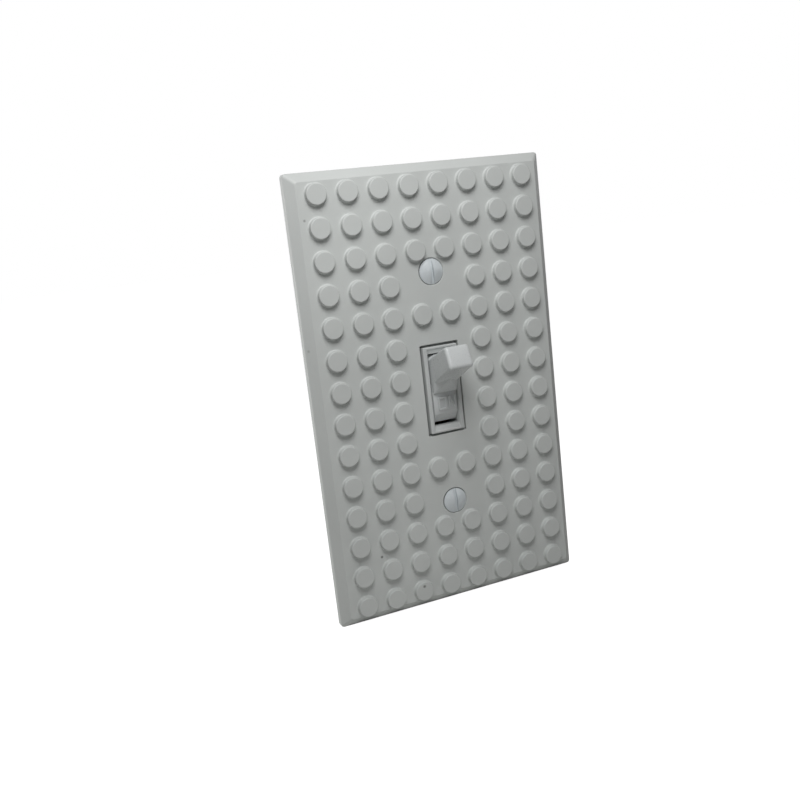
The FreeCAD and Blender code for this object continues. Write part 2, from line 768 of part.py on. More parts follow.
def make_toggle_spring():
    """The over-centre compression spring, wound along the line between the two nubs."""
    angle = math.radians(toggle_tilt)
    reach = toggle_nub_distance
    start = Vector(0, pivot_depth + reach * math.cos(angle), -reach * math.sin(angle))
    end = arm_point(-arm_nub_rise, 0)
    line = end - start
    coil_radius = spring_outer_radius - spring_wire_radius
    length = line.Length - 2 * spring_end_gap
    helix = Part.makeLongHelix(length / spring_turns, length, coil_radius)
    wire = Part.Wire(helix.Edges)
    first = wire.Edges[0]
    at = first.valueAt(first.FirstParameter)
    along = first.tangentAt(first.FirstParameter)
    section = Part.Wire(Part.makeCircle(spring_wire_radius, at, along))
    coil = wire.makePipeShell([section], True, True)
    direction = line.normalize()
    coil.Placement = FreeCAD.Placement(start + direction * spring_end_gap,
                                       FreeCAD.Rotation(Vector(0, 0, 1), direction))
    return [coil]


def make_bumper_pad():
    """The rubber pad that quiets the arm's tail when the contacts open."""
    half = arm_width / 2
    return [block(-half, half, strip_y - bumper_height, strip_y, -arm_tail - bumper_length / 2,
                  -arm_tail + bumper_length / 2)]


def make_strap_rivets():
    """Two long rivets that clamp strap, cover and body together."""
    rivets = []
    for side in side_up:
        z = side * rivet_z
        head = rod_y(rivet_head_radius, 0, z, strap_front_y - rivet_head_height, strap_front_y)
        shank = rod_y(rivet_radius, 0, z, strap_front_y, body_back_y)
        tail = rod_y(rivet_head_radius, 0, z, body_back_y, body_back_y + rivet_head_height)
        rivets.append(join([head, shank, tail]))
    return rivets


def make_ground_terminal():
    """The bent bracket on the strap's back that takes the ground screw."""
    x0 = ground_leg_x
    z = ground_z
    half = ground_leg_width / 2
    foot = block(x0, x0 + ground_thickness + ground_foot_length, 0, ground_thickness, z - half, z + half)
    leg = block(x0, x0 + ground_thickness, 0, ground_leg_length, z - half, z + half)
    hole_radius = ground_rivet_radius + rivet_hole_clearance
    rivet_hole = rod_y(hole_radius, ground_rivet_x, z, -1, ground_thickness + 1)
    start = Vector(x0 - 1, ground_screw_depth, z)
    end = Vector(x0 + ground_thickness + 1, ground_screw_depth, z)
    screw_hole = rod(screw_shank_radius + thread_clearance, start, end)
    return [join([foot, leg]).cut([rivet_hole, screw_hole])]


def make_ground_rivet():
    """The small rivet through the strap and the ground terminal."""
    x = ground_rivet_x
    z = ground_z
    head = rod_y(ground_rivet_head_radius, x, z, strap_front_y - ground_rivet_head_height, strap_front_y)
    shank = rod_y(ground_rivet_radius, x, z, strap_front_y, ground_thickness)
    tail_end_y = ground_thickness + ground_rivet_head_height
    tail = rod_y(ground_rivet_head_radius, x, z, ground_thickness, tail_end_y)
    return [join([head, shank, tail])]


def make_ground_screw():
    """The hexagon-head ground screw."""
    x0 = ground_leg_x
    z = ground_z
    corners = []
    for index in range(6):
        angle = math.radians(60 * index)
        y = ground_screw_depth + ground_screw_head_radius * math.cos(angle)
        corners.append((y, z + ground_screw_head_radius * math.sin(angle)))
    head = polygon_x(corners, x0 - ground_screw_head_height, x0)
    shank_end = Vector(x0 - ground_screw_head_height + ground_screw_length, ground_screw_depth, z)
    shank = rod(screw_shank_radius, Vector(x0, ground_screw_depth, z), shank_end)
    half_slot = screw_slot_width / 2
    reach = ground_screw_head_radius + 1
    slot = block(x0 - ground_screw_head_height - 1, x0 - ground_screw_head_height / 2,
                 ground_screw_depth - reach, ground_screw_depth + reach, z - half_slot, z + half_slot)
    return [join([head, shank]).cut(slot)]


def export(name, solids):
    """One file for each named piece, or for each set of like pieces."""
    shapes = []
    for item in solids:
        shapes += item.Solids
    for solid in shapes:
        if not solid.isValid() or solid.Volume <= 0:
            raise ValueError("bad solid in " + name)
    whole = shapes[0] if len(shapes) == 1 else Part.makeCompound(shapes)
    whole.exportStep("parts/" + name + ".step")
    print(name, len(shapes), "solids", round(sum(item.Volume for item in shapes), 1), "mm3")


def main():
    """Build every piece and write it to parts."""
    os.makedirs("parts", exist_ok=True)
    export("wall_plate", [make_wall_plate()])
    export("plate_screws", make_plate_screws())
    export("mounting_strap", make_mounting_strap())
    export("box_screws", make_box_screws())
    export("screw_retainers", make_screw_retainers())
    export("collar_cover", make_collar_cover())
    export("switch_body", make_switch_body())
    export("strap_rivets", make_strap_rivets())
    export("toggle_lever", make_toggle_lever())
    export("toggle_spring", make_toggle_spring())
    export("contact_arm", make_contact_arm())
    export("moving_contact", make_moving_contact())
    export("fixed_contact", make_fixed_contact())
    export("line_terminal", make_line_terminal())
    export("load_terminal", make_load_terminal())
    export("terminal_screws", make_terminal_screws())
    export("bumper_pad", make_bumper_pad())
    export("ground_terminal", make_ground_terminal())
    export("ground_rivet", make_ground_rivet())
    export("ground_screw", make_ground_screw())


main()
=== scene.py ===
"""A wall plate covered in round studs, with its toggle switch, dressed and set in a small studio.

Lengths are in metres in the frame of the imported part: X to the right, Y into the wall, Z up. The studded
face looks along -Y, and the plate's back rim lies on the wall plane at Y = 0.
"""

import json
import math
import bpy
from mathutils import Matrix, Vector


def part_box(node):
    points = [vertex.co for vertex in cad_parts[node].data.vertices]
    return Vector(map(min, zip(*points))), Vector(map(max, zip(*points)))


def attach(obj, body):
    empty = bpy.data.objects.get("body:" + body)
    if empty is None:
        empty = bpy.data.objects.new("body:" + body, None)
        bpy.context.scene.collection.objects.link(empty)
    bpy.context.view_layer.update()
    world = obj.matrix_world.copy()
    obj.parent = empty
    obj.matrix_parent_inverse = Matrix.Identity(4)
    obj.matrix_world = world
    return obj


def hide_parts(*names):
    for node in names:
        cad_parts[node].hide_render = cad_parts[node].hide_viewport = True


bl_info = {
    "name": "Toggle switch plate",
    "version": (1, 0, 0),
    "blender": (4, 5, 0),
    "location": "3D View > Sidebar > Switch plate",
    "description": "Dresses a studded wall plate and its toggle switch, and sets the studio round them",
    "category": "Object",
}

import bmesh
import bpy
from bpy.props import FloatProperty, FloatVectorProperty, IntProperty, PointerProperty
from mathutils import Matrix, Vector

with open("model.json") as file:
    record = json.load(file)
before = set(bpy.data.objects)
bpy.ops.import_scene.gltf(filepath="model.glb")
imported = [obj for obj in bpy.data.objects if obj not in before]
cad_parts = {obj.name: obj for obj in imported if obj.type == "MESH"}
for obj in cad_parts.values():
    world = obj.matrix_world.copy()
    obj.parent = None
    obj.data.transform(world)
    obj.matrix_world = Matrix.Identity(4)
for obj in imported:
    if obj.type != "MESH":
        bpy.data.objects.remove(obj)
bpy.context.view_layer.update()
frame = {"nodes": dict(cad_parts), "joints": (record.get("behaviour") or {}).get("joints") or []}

MM = 0.001
PIVOT = Vector(next(joint["pos_m"] for joint in frame["joints"] if joint["name"] == "toggle_pivot"))
PLATE_LOW, PLATE_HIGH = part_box("wall_plate")
COVER_LOW, COVER_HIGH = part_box("collar_cover")
SCREWS_LOW, SCREWS_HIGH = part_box("plate_screws")
BOX_SCREWS_LOW, BOX_SCREWS_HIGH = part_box("box_screws")

# How finely round shapes are drawn.
ROUND_STEPS = 5
CORNER_STEPS = 6
HOLE_SEGMENTS = 48
STUD_SEGMENTS = 28
THREAD_SEGMENTS = 24
THREAD_ROWS = 8
DOME_STEPS = 12
ARC_STEPS = 14
NUB_STEPS = 10

# Small lengths: flats beside a rounding, how far a cutter reaches past its piece, how far joined shapes
# reach into each other, the least room between two edges, and the flats that close a turned shape.
FLAT_BESIDE = 0.1 * MM
PAST_CUT = 1.0 * MM
OVERLAP = 0.1 * MM
HAIR = 0.02 * MM
FLAT_RADIUS = 0.6 * MM
RIM_FLAT = 1.0 * MM
SEAT_FLAT = 0.28 * MM
STUD_FLAT = 0.12 * MM

# Edges sharper than these stay sharp in the shading, or get a bevel on a head, a corner or a flare.
SHARP_ANGLE = math.radians(38)
HEAD_ANGLE = math.radians(50)
CORNER_ANGLE = math.radians(60)
FACET_ANGLE = math.radians(12)

# Where the spring's nub leaves its neck, and where the rings of the bulging tip lie.
NUB_START = math.radians(-48.6)
CROWN_SHARES = (0.8, 0.5, 0.2)

# Each word: its letters with their left and right edges, then its bottom and top, in millimetres.
WORD_ON = ((("O", -2.15, 0.25), ("N", 0.75, 2.95)), -5.4, -2.0)
WORD_OFF = ((("O", -2.75, -0.95), ("F", -0.55, 1.0), ("F", 1.35, 2.8)), 2.0, 5.2)

# The camera as it was fitted to the photograph, and half the side of the floor.
CAMERA_PLACE = Vector((-98.58, -212.99, 42.72)) * MM
CAMERA_RIGHT = Vector((0.91005, -0.39897, -0.11243))
CAMERA_UP = Vector((0.1775, 0.12998, 0.9755))
SENSOR_WIDTH = 36
FLOOR_REACH = 3.0


def linear(hex_colour):
    """An sRGB colour such as C8CAC8 as linear red, green and blue."""
    values = []
    for start in (0, 2, 4):
        value = int(hex_colour[start:start + 2], 16) / 255
        values.append(value / 12.92 if value <= 0.04045 else ((value + 0.055) / 1.055) ** 2.4)
    return values


def length(name, millimetres, description):
    """A length that a user can change, given in millimetres."""
    return FloatProperty(name=name, description=description, default=millimetres * MM, min=0,
                         unit="LENGTH", precision=5)


def slant(name, degrees, description):
    """An angle that a user can change, given in degrees."""
    return FloatProperty(name=name, description=description, default=math.radians(degrees), subtype="ANGLE")


def location(name, millimetres, description):
    """A point that a user can change, given in millimetres."""
    return FloatVectorProperty(name=name, description=description, size=3, subtype="TRANSLATION",
                               default=[value * MM for value in millimetres], unit="LENGTH")


def brightness(name, value, description, unit="NONE"):
    """A light's strength that a user can change."""
    return FloatProperty(name=name, description=description, default=value, min=0, unit=unit)


def colour(name, hex_colour, description):
    """A colour that a user can change."""
    return FloatVectorProperty(name=name, description=description, default=linear(hex_colour),
                               size=3, min=0, max=1, subtype="COLOR")


class PlateSizes(bpy.types.PropertyGroup):
    """Sizes of the moulded wall plate and its studs."""

    bevel_width: length("Bevel width", 2.25, "How far the bevel reaches in from the plate's edge")
    bevel_drop: length("Bevel drop", 2.1, "How far the bevel falls from the face")
    bevel_rounding: length("Bevel rounding", 0.25, "Radius where the face turns into the bevel")
    edge_rounding: length("Edge rounding", 0.35, "Radius where the bevel meets the side")
    corner_radius: length("Corner radius", 0.8, "Radius of the plate's four corners")
    face_wall: length("Face wall", 1.6, "Thickness of the plate's face")
    rim_wall: length("Rim wall", 2.2, "Width of the rim that lies on the wall")
    boss_radius: length("Boss radius", 4.4, "Radius of the bosses round the two screws")
    boss_lift: length("Boss lift", 1.0, "How far in front of the wall the bosses end")
    opening_gap: length("Opening gap", 0.62, "Gap between the plate and the collar")
    lip_rounding: length("Lip rounding", 0.15, "Radius at the rim of the opening")
    seat_rounding: length("Seat rounding", 0.08, "Radius at the rim of a screw's seat")
    inner_rounding: length("Inner rounding", 0.4, "Radius where the rim meets the hollow back")
    boss_rounding: length("Boss rounding", 0.2, "Radius at the end of a boss")
    boss_fillet: length("Boss fillet", 0.3, "Radius where a boss grows out of the hollow back")
    screw_play: length("Screw play", 0.25, "Room round a screw's thread in its hole")
    stud_pitch: length("Stud pitch", 8.0, "Distance from stud to stud")
    stud_radius: length("Stud radius", 2.6, "Radius of a stud half way up")
    stud_height: length("Stud height", 1.4, "How far the studs stand up")
    stud_draft: length("Stud draft", 0.04, "How much a stud narrows to each side on its way up")
    stud_fillet: length("Stud fillet", 0.4, "Radius where a stud grows out of the face")
    stud_rounding: length("Stud rounding", 0.25, "Radius at the top edge of a stud")
    stud_lowering: length("Stud lowering", 0.25, "How far the studs' middle is below the plate's")
    stud_screw_room: length("Room round screws", 6.15, "Studs nearer than this to a screw are left out")
    columns: IntProperty(name="Columns", description="Studs across the plate", default=8, min=1)
    rows: IntProperty(name="Rows", description="Studs along the plate", default=14, min=1)


class CollarSizes(bpy.types.PropertyGroup):
    """Sizes of the raised collar and the cover below it."""

    width: length("Collar width", 9.6, "Outside width of the collar")
    height: length("Collar height", 22.5, "Outside height of the collar")
    corner_radius: length("Corner radius", 0.25, "Radius of the collar's corners")
    rounding: length("Rim rounding", 0.22, "Radius at the collar's rim")
    mouth_width: length("Mouth width", 7.4, "Width of the opening at the rim")
    mouth_height: length("Mouth height", 21.2, "Height of the opening at the rim")
    throat_width: length("Throat width", 7.0, "Width of the opening inside")
    throat_height: length("Throat height", 19.0, "Height of the opening inside")
    lip_depth: length("Lip depth", 0.5, "Depth of the sloping lip")
    foot_width: length("Foot width", 11.2, "Width of the foot behind the plate")
    foot_height: length("Foot height", 25.6, "Height of the foot behind the plate")
    foot_depth: length("Foot depth", 2.3, "How far the foot stands in front of the strap's back")
    cover_thickness: length("Cover thickness", 2.0, "Thickness of the flat cover")
    cover_corner: length("Cover corner", 1.6, "Radius of the cover's corners")
    cover_edge: length("Cover edge", 0.15, "Bevel along the cover's edges")
    sweep_radius: length("Sweep radius", 13.05, "Room for the toggle's round base")
    rivet_spacing: length("Rivet spacing", 44.0, "Distance between the two rivet holes")
    rivet_hole: length("Rivet hole", 1.58, "Radius of the rivet holes")
    bearing_radius: length("Bearing radius", 1.78, "Radius of the toggle's bearings")
    keeper_inner: length("Keeper start", 3.75, "Where the trunnion keepers begin, from the middle")
    keeper_outer: length("Keeper end", 5.3, "Where the trunnion keepers end, from the middle")
    keeper_half: length("Keeper half width", 1.7, "Half the width of a keeper")


class ToggleSizes(bpy.types.PropertyGroup):
    """Sizes of the toggle lever, measured from its pivot along the straight lever."""

    tilt: slant("Tilt", 23.4, "How far the lever is turned up")
    reach: length("Reach", 24.0, "Distance from the pivot to the tip")
    tip_width: length("Tip width", 6.6, "Width of the tip")
    tip_height: length("Tip height", 5.9, "Height of the tip")
    tip_rounding: length("Tip rounding", 0.85, "Radius at the edges of the tip face")
    tip_crown: length("Tip crown", 0.12, "How far the tip face bulges")
    root_width: length("Root width", 6.6, "Width of the lever at its root and of its base")
    root_height: length("Root height", 7.0, "Height of the lever at its root")
    root_distance: length("Root distance", 8.88, "Where the handle begins inside the base")
    long_edge_rounding: length("Long edge rounding", 0.7, "Radius of the lever's long edges")
    base_radius: length("Base radius", 12.75, "Radius of the round base")
    base_edge: length("Base edge", 0.25, "Bevel along the sides of the base")
    panel_distance: length("Flat distance", 11.15, "Distance from the pivot to the lettered flats")
    shell: length("Shell", 1.75, "Thickness of the base's shell behind the flats")
    end_angle: slant("End angle", 66.5, "Where the round base ends")
    hub_radius: length("Hub radius", 3.0, "Radius of the hub")
    trunnion_radius: length("Trunnion radius", 1.7, "Radius of the trunnions")
    trunnion_reach: length("Trunnion reach", 5.55, "How far the trunnions reach to each side")
    nub_distance: length("Nub distance", 4.4, "How far behind the pivot the spring's nub sits")
    nub_radius: length("Nub radius", 1.2, "Radius of the spring's nub")
    neck_radius: length("Neck radius", 0.9, "Radius of the nub's neck")
    letter_rise: length("Letter rise", 0.4, "How far the letters stand up")
    letter_stroke: length("Letter stroke", 0.52, "Width of a letter's bars")
    letter_edge: length("Letter edge", 0.08, "Bevel round a letter's front")
    flare_point: length("Flare point", 15.6, "Distance from the pivot to the flare's point")
    flare_shoulder: length("Flare shoulder", 12.6, "Distance at which the flare is as wide as the lever")
    flare_end: length("Flare end", 10.35, "Distance at which the flare is thickest")
    flare_half_height: length("Flare half height", 5.35, "Half the lever's height at the flare's end")
    flare_foot_distance: length("Flare foot distance", 9.4, "Distance at which the flare ends in the base")
    flare_foot_height: length("Flare foot height", 4.2, "Half the lever's height where the flare ends")
    flare_sunk: length("Flare depth", 2.0, "How deep the flare reaches into the lever")
    flare_inset: length("Flare inset", 0.05, "How far the flare stays back from the lever's sides")
    flare_edge: length("Flare edge", 0.1, "Bevel along the flare's edges")


class ScrewSizes(bpy.types.PropertyGroup):
    """Sizes of the number 6 screws."""

    head_radius: length("Head radius", 3.25, "Radius of a plate screw's head")
    seat_gap: length("Seat gap", 0.3, "Gap between a plate screw's head and the rim of its seat")
    dome: length("Dome", 0.85, "How far the oval head stands above the plate")
    cone_depth: length("Cone depth", 1.737, "Depth of the countersunk part")
    shank_radius: length("Shank radius", 1.74, "Outside radius of the thread")
    thread_pitch: length("Thread pitch", 0.794, "Distance from thread to thread")
    thread_depth: length("Thread depth", 0.4, "Depth of the thread")
    slot_width: length("Slot width", 0.9, "Width of the slot")
    slot_depth: length("Slot depth", 0.95, "Depth of the slot")
    slot_edge: length("Slot edge", 0.05, "Bevel along the edges of a cut head")
    rim: length("Rim", 0.1, "Half the height of a plate screw's rim")
    neck_run: length("Neck run", 0.5, "Length over which the cone runs out into the thread")
    tip_run: length("Tip run", 0.3, "Length of the narrowed tip")
    tip_share: FloatProperty(name="Tip share", description="Width of the narrowed tip, as a share",
                             default=0.75, min=0, max=1)
    first_turn: slant("Upper turn", -2, "How the upper slot is turned")
    second_turn: slant("Lower turn", -1, "How the lower slot is turned")
    box_head_radius: length("Box screw head radius", 3.4, "Radius of a box screw's head")
    box_head_height: length("Box screw head height", 1.3, "Height of a box screw's head")
    box_neck_radius: length("Box screw neck radius", 1.45, "Radius of a box screw's neck")
    box_thread_start: length("Box screw thread start", 0.43, "Depth at which a box screw's thread begins")


class Finishes(bpy.types.PropertyGroup):
    """Colours of the parts."""

    plate: colour("Plate", "C6C9C7", "Moulded wall plate")
    collar: colour("Collar", "C2C5C4", "Moulded collar and cover")
    toggle: colour("Toggle", "CBCECE", "Moulded toggle lever")
    screws: colour("Plate screws", "CDD3D6", "Enamel of the plate screws")
    body: colour("Body", "8A8A86", "Moulded rear housing")
    dirt: colour("Dirt", "4A4A46", "Small specks of dirt on the plate")
    floor: colour("Floor", "E6E6E4", "Painted studio floor")


class StudioSettings(bpy.types.PropertyGroup):
    """Camera and lights."""

    focal_length: FloatProperty(name="Focal length", description="Lens of the camera in millimetres",
                                default=40.887, min=1)
    key_power: brightness("Key light", 0.31, "Power of the soft light above", "POWER")
    key_place: location("Key place", (-50, -125, 165), "Where the soft light above hangs")
    key_target: location("Key target", (0, 0, 0), "What the soft light above looks at")
    key_size: length("Key size", 100.0, "Side of the soft light above")
    fill_power: brightness("Fill light", 0.47, "Power of the light behind at the left", "POWER")
    fill_place: location("Fill place", (-250, 200, 20), "Where the light behind at the left hangs")
    fill_target: location("Fill target", (-35, 0, 0), "What the light behind at the left looks at")
    fill_size: length("Fill size", 150.0, "Side of the light behind at the left")
    room_light: brightness("Room light", 0.07, "Strength of the even light from all sides")
    background: brightness("Background", 1.0, "Strength of the white that the camera sees")
    floor_glow: brightness("Floor glow", 0.95, "Light that lifts the floor to white for the camera")


def outline(width, height, radius, depth):
    """Points of an upright rectangle with round corners, anticlockwise as seen from the front."""
    points = []
    for side_x, side_z, start in ((1, 1, 0), (-1, 1, 90), (-1, -1, 180), (1, -1, 270)):
        for step in range(CORNER_STEPS + 1):
            angle = math.radians(start + 90 * step / CORNER_STEPS)
            points.append(Vector((side_x * (width / 2 - radius) + radius * math.cos(angle), depth,
                                  side_z * (height / 2 - radius) + radius * math.sin(angle))))
    return points


def circle(radius, depth, z=0.0, segments=HOLE_SEGMENTS):
    """Points of an upright circle on the middle line."""
    points = []
    for segment in range(segments):
        angle = 2 * math.pi * segment / segments
        points.append(Vector((radius * math.cos(angle), depth, z + radius * math.sin(angle))))
    return points


def soften(corners, beside=FLAT_BESIDE):
    """A path through (across, depth, radius) corners: each is rounded, with a short flat on both sides."""
    path = []
    for index, (across, depth, radius) in enumerate(corners):
        here = Vector((across, depth))
        if not radius:
            path.append(here)
            continue
        before = (Vector(corners[index - 1][:2]) - here).normalized()
        after = (Vector(corners[index + 1][:2]) - here).normalized()
        half = before.angle(after) / 2
        reach = radius / math.tan(half)
        centre = here + (before + after).normalized() * radius / math.sin(half)
        arm = here + before * reach - centre
        turn = (math.pi - 2 * half) * (1 if before.cross(after) < 0 else -1)
        path.append(here + before * (reach + beside))
        for step in range(ROUND_STEPS + 1):
            path.append(centre + Matrix.Rotation(turn * step / ROUND_STEPS, 2) @ arm)
        path.append(here + after * (reach + beside))
    return path


def bridge(bm, first, second):
    """Faces between two rings of the same count."""
    for index, vert in enumerate(first):
        following = (index + 1) % len(first)
        bm.faces.new((vert, first[following], second[following], second[index]))


def sweep(bm, rings):
    """Places rings of points and joins each to the next; gives the first and last ring of vertices."""
    placed = [[bm.verts.new(point) for point in ring] for ring in rings]
    for first, second in zip(placed, placed[1:]):
        bridge(bm, first, second)
    return placed[0], placed[-1]


def cap(bm, ring):
    """Closes a ring with a fan about its middle."""
    middle = bm.verts.new(sum((vert.co for vert in ring), Vector()) / len(ring))
    for index, vert in enumerate(ring):
        bm.faces.new((vert, ring[(index + 1) % len(ring)], middle))


def lathe(bm, path, z=0.0, segments=HOLE_SEGMENTS, close_start=True, close_end=True):
    """A turned shape along Y from (radius, depth) points."""
    first, last = sweep(bm, [circle(radius, depth, z, segments) for radius, depth in path])
    if close_start:
        cap(bm, first)
    if close_end:
        cap(bm, last)


def prism(bm, loops, start, end, place=None):
    """A flat shape of one or more (across, up) loops, given thickness along the third axis."""
    place = place or (lambda across, up, along: Vector((across, along, up)))
    edges = {start: [], end: []}
    for loop in loops:
        rings = []
        for along in (start, end):
            ring = [bm.verts.new(place(across, up, along)) for across, up in loop]
            rings.append(ring)
            for index, vert in enumerate(ring):
                edges[along].append(bm.edges.new((vert, ring[(index + 1) % len(ring)])))
        bridge(bm, *rings)
    for along in (start, end):
        bmesh.ops.triangle_fill(bm, edges=edges[along], use_beauty=True, use_dissolve=len(loops) == 1)


def bevel_sharp(bm, width, limit, segments=2):
    """Bevels the edges whose faces meet at more than this angle."""
    sharp = [edge for edge in bm.edges if len(edge.link_faces) == 2 and edge.calc_face_angle() > limit]
    bmesh.ops.bevel(bm, geom=sharp, offset=width, segments=segments, profile=0.5, affect="EDGES",
                    clamp_overlap=True)


def as_object(name, bm, tolerance=1e-7):
    """A named object from a finished shape, with its faces pointing outwards."""
    bmesh.ops.remove_doubles(bm, verts=bm.verts, dist=tolerance)
    bmesh.ops.recalc_face_normals(bm, faces=bm.faces)
    mesh = bpy.data.meshes.new(name)
    bm.to_mesh(mesh)
    bm.free()
    piece = bpy.data.objects.new(name, mesh)
    bpy.context.scene.collection.objects.link(piece)
    return piece


def settle(piece):
    """Turns the object's modifiers into plain mesh and removes them."""
    graph = bpy.context.evaluated_depsgraph_get()
    mesh = bpy.data.meshes.new_from_object(piece.evaluated_get(graph))
    piece.modifiers.clear()
    piece.data = mesh
    mesh.name = piece.name


def carve(piece, cutter):
    """Cuts one object out of another and removes the cutter."""
    modifier = piece.modifiers.new("Cut", "BOOLEAN")
    modifier.operation = "DIFFERENCE"
    modifier.solver = "EXACT"
    modifier.object = cutter
    settle(piece)
    bpy.data.objects.remove(cutter)


def dress(piece, material, body, nodes=()):
    """Shades a finished piece, gives it its material, hangs it on the body that it rides on and hides the
    imported parts that it stands for.
    """
    piece.data.shade_smooth()
    piece.data.set_sharp_from_angle(angle=SHARP_ANGLE)
    piece.data.materials.clear()
    piece.data.materials.append(material)
    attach(piece, body)
    if nodes:
        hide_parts(*nodes)
    return piece


def add(tree, kind, inputs=None, **settings):
    """Adds a node: its inputs are values or the sockets that they come from."""
    node = tree.nodes.new(kind)
    for name, value in settings.items():
        setattr(node, name, value)
    for name, value in (inputs or {}).items():
        if isinstance(value, bpy.types.NodeSocket):
            tree.links.new(value, node.inputs[name])
        else:
            node.inputs[name].default_value = value
    return node


def node_group(name, sockets):
    """An empty Geometry Nodes tree with named inputs, and its input and output nodes."""
    tree = bpy.data.node_groups.new(name, "GeometryNodeTree")
    tree.interface.new_socket("Geometry", in_out="INPUT", socket_type="NodeSocketGeometry")
    for socket, kind in sockets.items():
        tree.interface.new_socket(socket, in_out="INPUT", socket_type="NodeSocket" + kind)
    tree.interface.new_socket("Geometry", in_out="OUTPUT", socket_type="NodeSocketGeometry")
    return tree, add(tree, "NodeGroupInput").outputs


def repeat(piece, tree, values):
    """Runs a Geometry Nodes tree on the piece with these input values and keeps the result as mesh."""
    modifier = piece.modifiers.new(tree.name, "NODES")
    modifier.node_group = tree
    for item in tree.interface.items_tree:
        if item.in_out == "INPUT" and item.name in values:
            modifier[item.identifier] = values[item.name]
    settle(piece)


def finish_tree(tree, geometry, material):
    """Ends a tree: real geometry, with its material."""
    real = add(tree, "GeometryNodeRealizeInstances", {"Geometry": geometry})
    painted = add(tree, "GeometryNodeSetMaterial", {"Geometry": real.outputs[0], "Material": material})
    add(tree, "NodeGroupOutput", {"Geometry": painted.outputs[0]})
    return tree


def stud_field_tree():
    """Studs on a square grid, left out round the two screws and the switch opening."""
    tree, given = node_group("stud_field", {
        "Pitch": "Float", "Columns": "Int", "Rows": "Int", "Face depth": "Float", "Middle height": "Float",
        "Screw height": "Float", "Screw room": "Float", "Half width": "Float", "Half height": "Float",
        "Material": "Material"})

    def math_node(operation, first, second=0.0):
        return add(tree, "ShaderNodeMath", {0: first, 1: second}, operation=operation).outputs[0]

    def span(count):
        return math_node("MULTIPLY", math_node("SUBTRACT", given[count], 1.0), given["Pitch"])

    grid = add(tree, "GeometryNodeMeshGrid", {
        "Size X": span("Columns"), "Size Y": span("Rows"),
        "Vertices X": given["Columns"], "Vertices Y": given["Rows"]})
    shift = add(tree, "ShaderNodeCombineXYZ", {"Y": given["Face depth"], "Z": given["Middle height"]})
    upright = add(tree, "GeometryNodeTransform", {
        "Geometry": grid.outputs[0], "Rotation": (math.pi / 2, 0, 0), "Translation": shift.outputs[0]})
    place = add(tree, "ShaderNodeSeparateXYZ", {0: add(tree, "GeometryNodeInputPosition").outputs[0]})
    across = math_node("ABSOLUTE", place.outputs["X"])
    up = math_node("ABSOLUTE", place.outputs["Z"])
    past_screw = math_node("SUBTRACT", up, given["Screw height"])
    squares = math_node("ADD", math_node("MULTIPLY", across, across),
                        math_node("MULTIPLY", past_screw, past_screw))
    near_screw = math_node("LESS_THAN", math_node("SQRT", squares), given["Screw room"])
    in_opening = math_node("MULTIPLY", math_node("LESS_THAN", across, given["Half width"]),
                           math_node("LESS_THAN", up, given["Half height"]))
    kept = add(tree, "GeometryNodeDeleteGeometry", {
        "Geometry": upright.outputs[0], "Selection": math_node("MAXIMUM", near_screw, in_opening)},
        domain="POINT")
    studs = add(tree, "GeometryNodeInstanceOnPoints", {
        "Points": kept.outputs[0], "Instance": given["Geometry"]})
    return finish_tree(tree, studs.outputs[0], given["Material"])


def screw_pair_tree():
    """Two copies of a screw, one above the other, each with its own turn."""
    tree, given = node_group("screw_pair", {
        "Spacing": "Float", "First turn": "Float", "Second turn": "Float", "Material": "Material"})
    half = add(tree, "ShaderNodeMath", {0: given["Spacing"], 1: 0.5}, operation="MULTIPLY").outputs[0]
    down = add(tree, "ShaderNodeMath", {0: given["Spacing"], 1: -1.0}, operation="MULTIPLY").outputs[0]
    points = add(tree, "GeometryNodeMeshLine", {
        "Count": 2, "Start Location": add(tree, "ShaderNodeCombineXYZ", {"Z": half}).outputs[0],
        "Offset": add(tree, "ShaderNodeCombineXYZ", {"Z": down}).outputs[0]})
    index = add(tree, "GeometryNodeInputIndex").outputs[0]
    turn = add(tree, "ShaderNodeMapRange", {
        "Value": index, "To Min": given["First turn"], "To Max": given["Second turn"]})
    spin = add(tree, "ShaderNodeCombineXYZ", {"Y": turn.outputs[0]})
    screws = add(tree, "GeometryNodeInstanceOnPoints", {
        "Points": points.outputs[0], "Instance": given["Geometry"], "Rotation": spin.outputs[0]})
    return finish_tree(tree, screws.outputs[0], given["Material"])


def surface(name):
    """A new material with its tree, shader and Object coordinates."""
    material = bpy.data.materials.new(name)
    material.use_nodes = True
    tree = material.node_tree
    shader = tree.nodes["Principled BSDF"]
    place = add(tree, "ShaderNodeTexCoord").outputs["Object"]
    return material, tree, shader, place


def per_metre(millimetres):
    """The texture scale whose features are about this many millimetres apart."""
    return 1 / (millimetres * MM)


def set_shader(shader, **values):
    """Sets plain values on the shader's own sockets."""
    for name, value in values.items():
        shader.inputs[name.replace("_", " ")].default_value = value


def varied_colour(tree, place, colours, size, spread=(0.35, 0.65)):
    """Colour that drifts between two tones over patches of this size."""
    noise = add(tree, "ShaderNodeTexNoise", {"Vector": place, "Scale": per_metre(size), "Detail": 4.0})
    ramp = add(tree, "ShaderNodeValToRGB", {"Fac": noise.outputs["Fac"]})
    for element, position, tone in zip(ramp.color_ramp.elements, spread, colours):
        element.position = position
        element.color = (*tone, 1)
    return ramp.outputs["Color"]


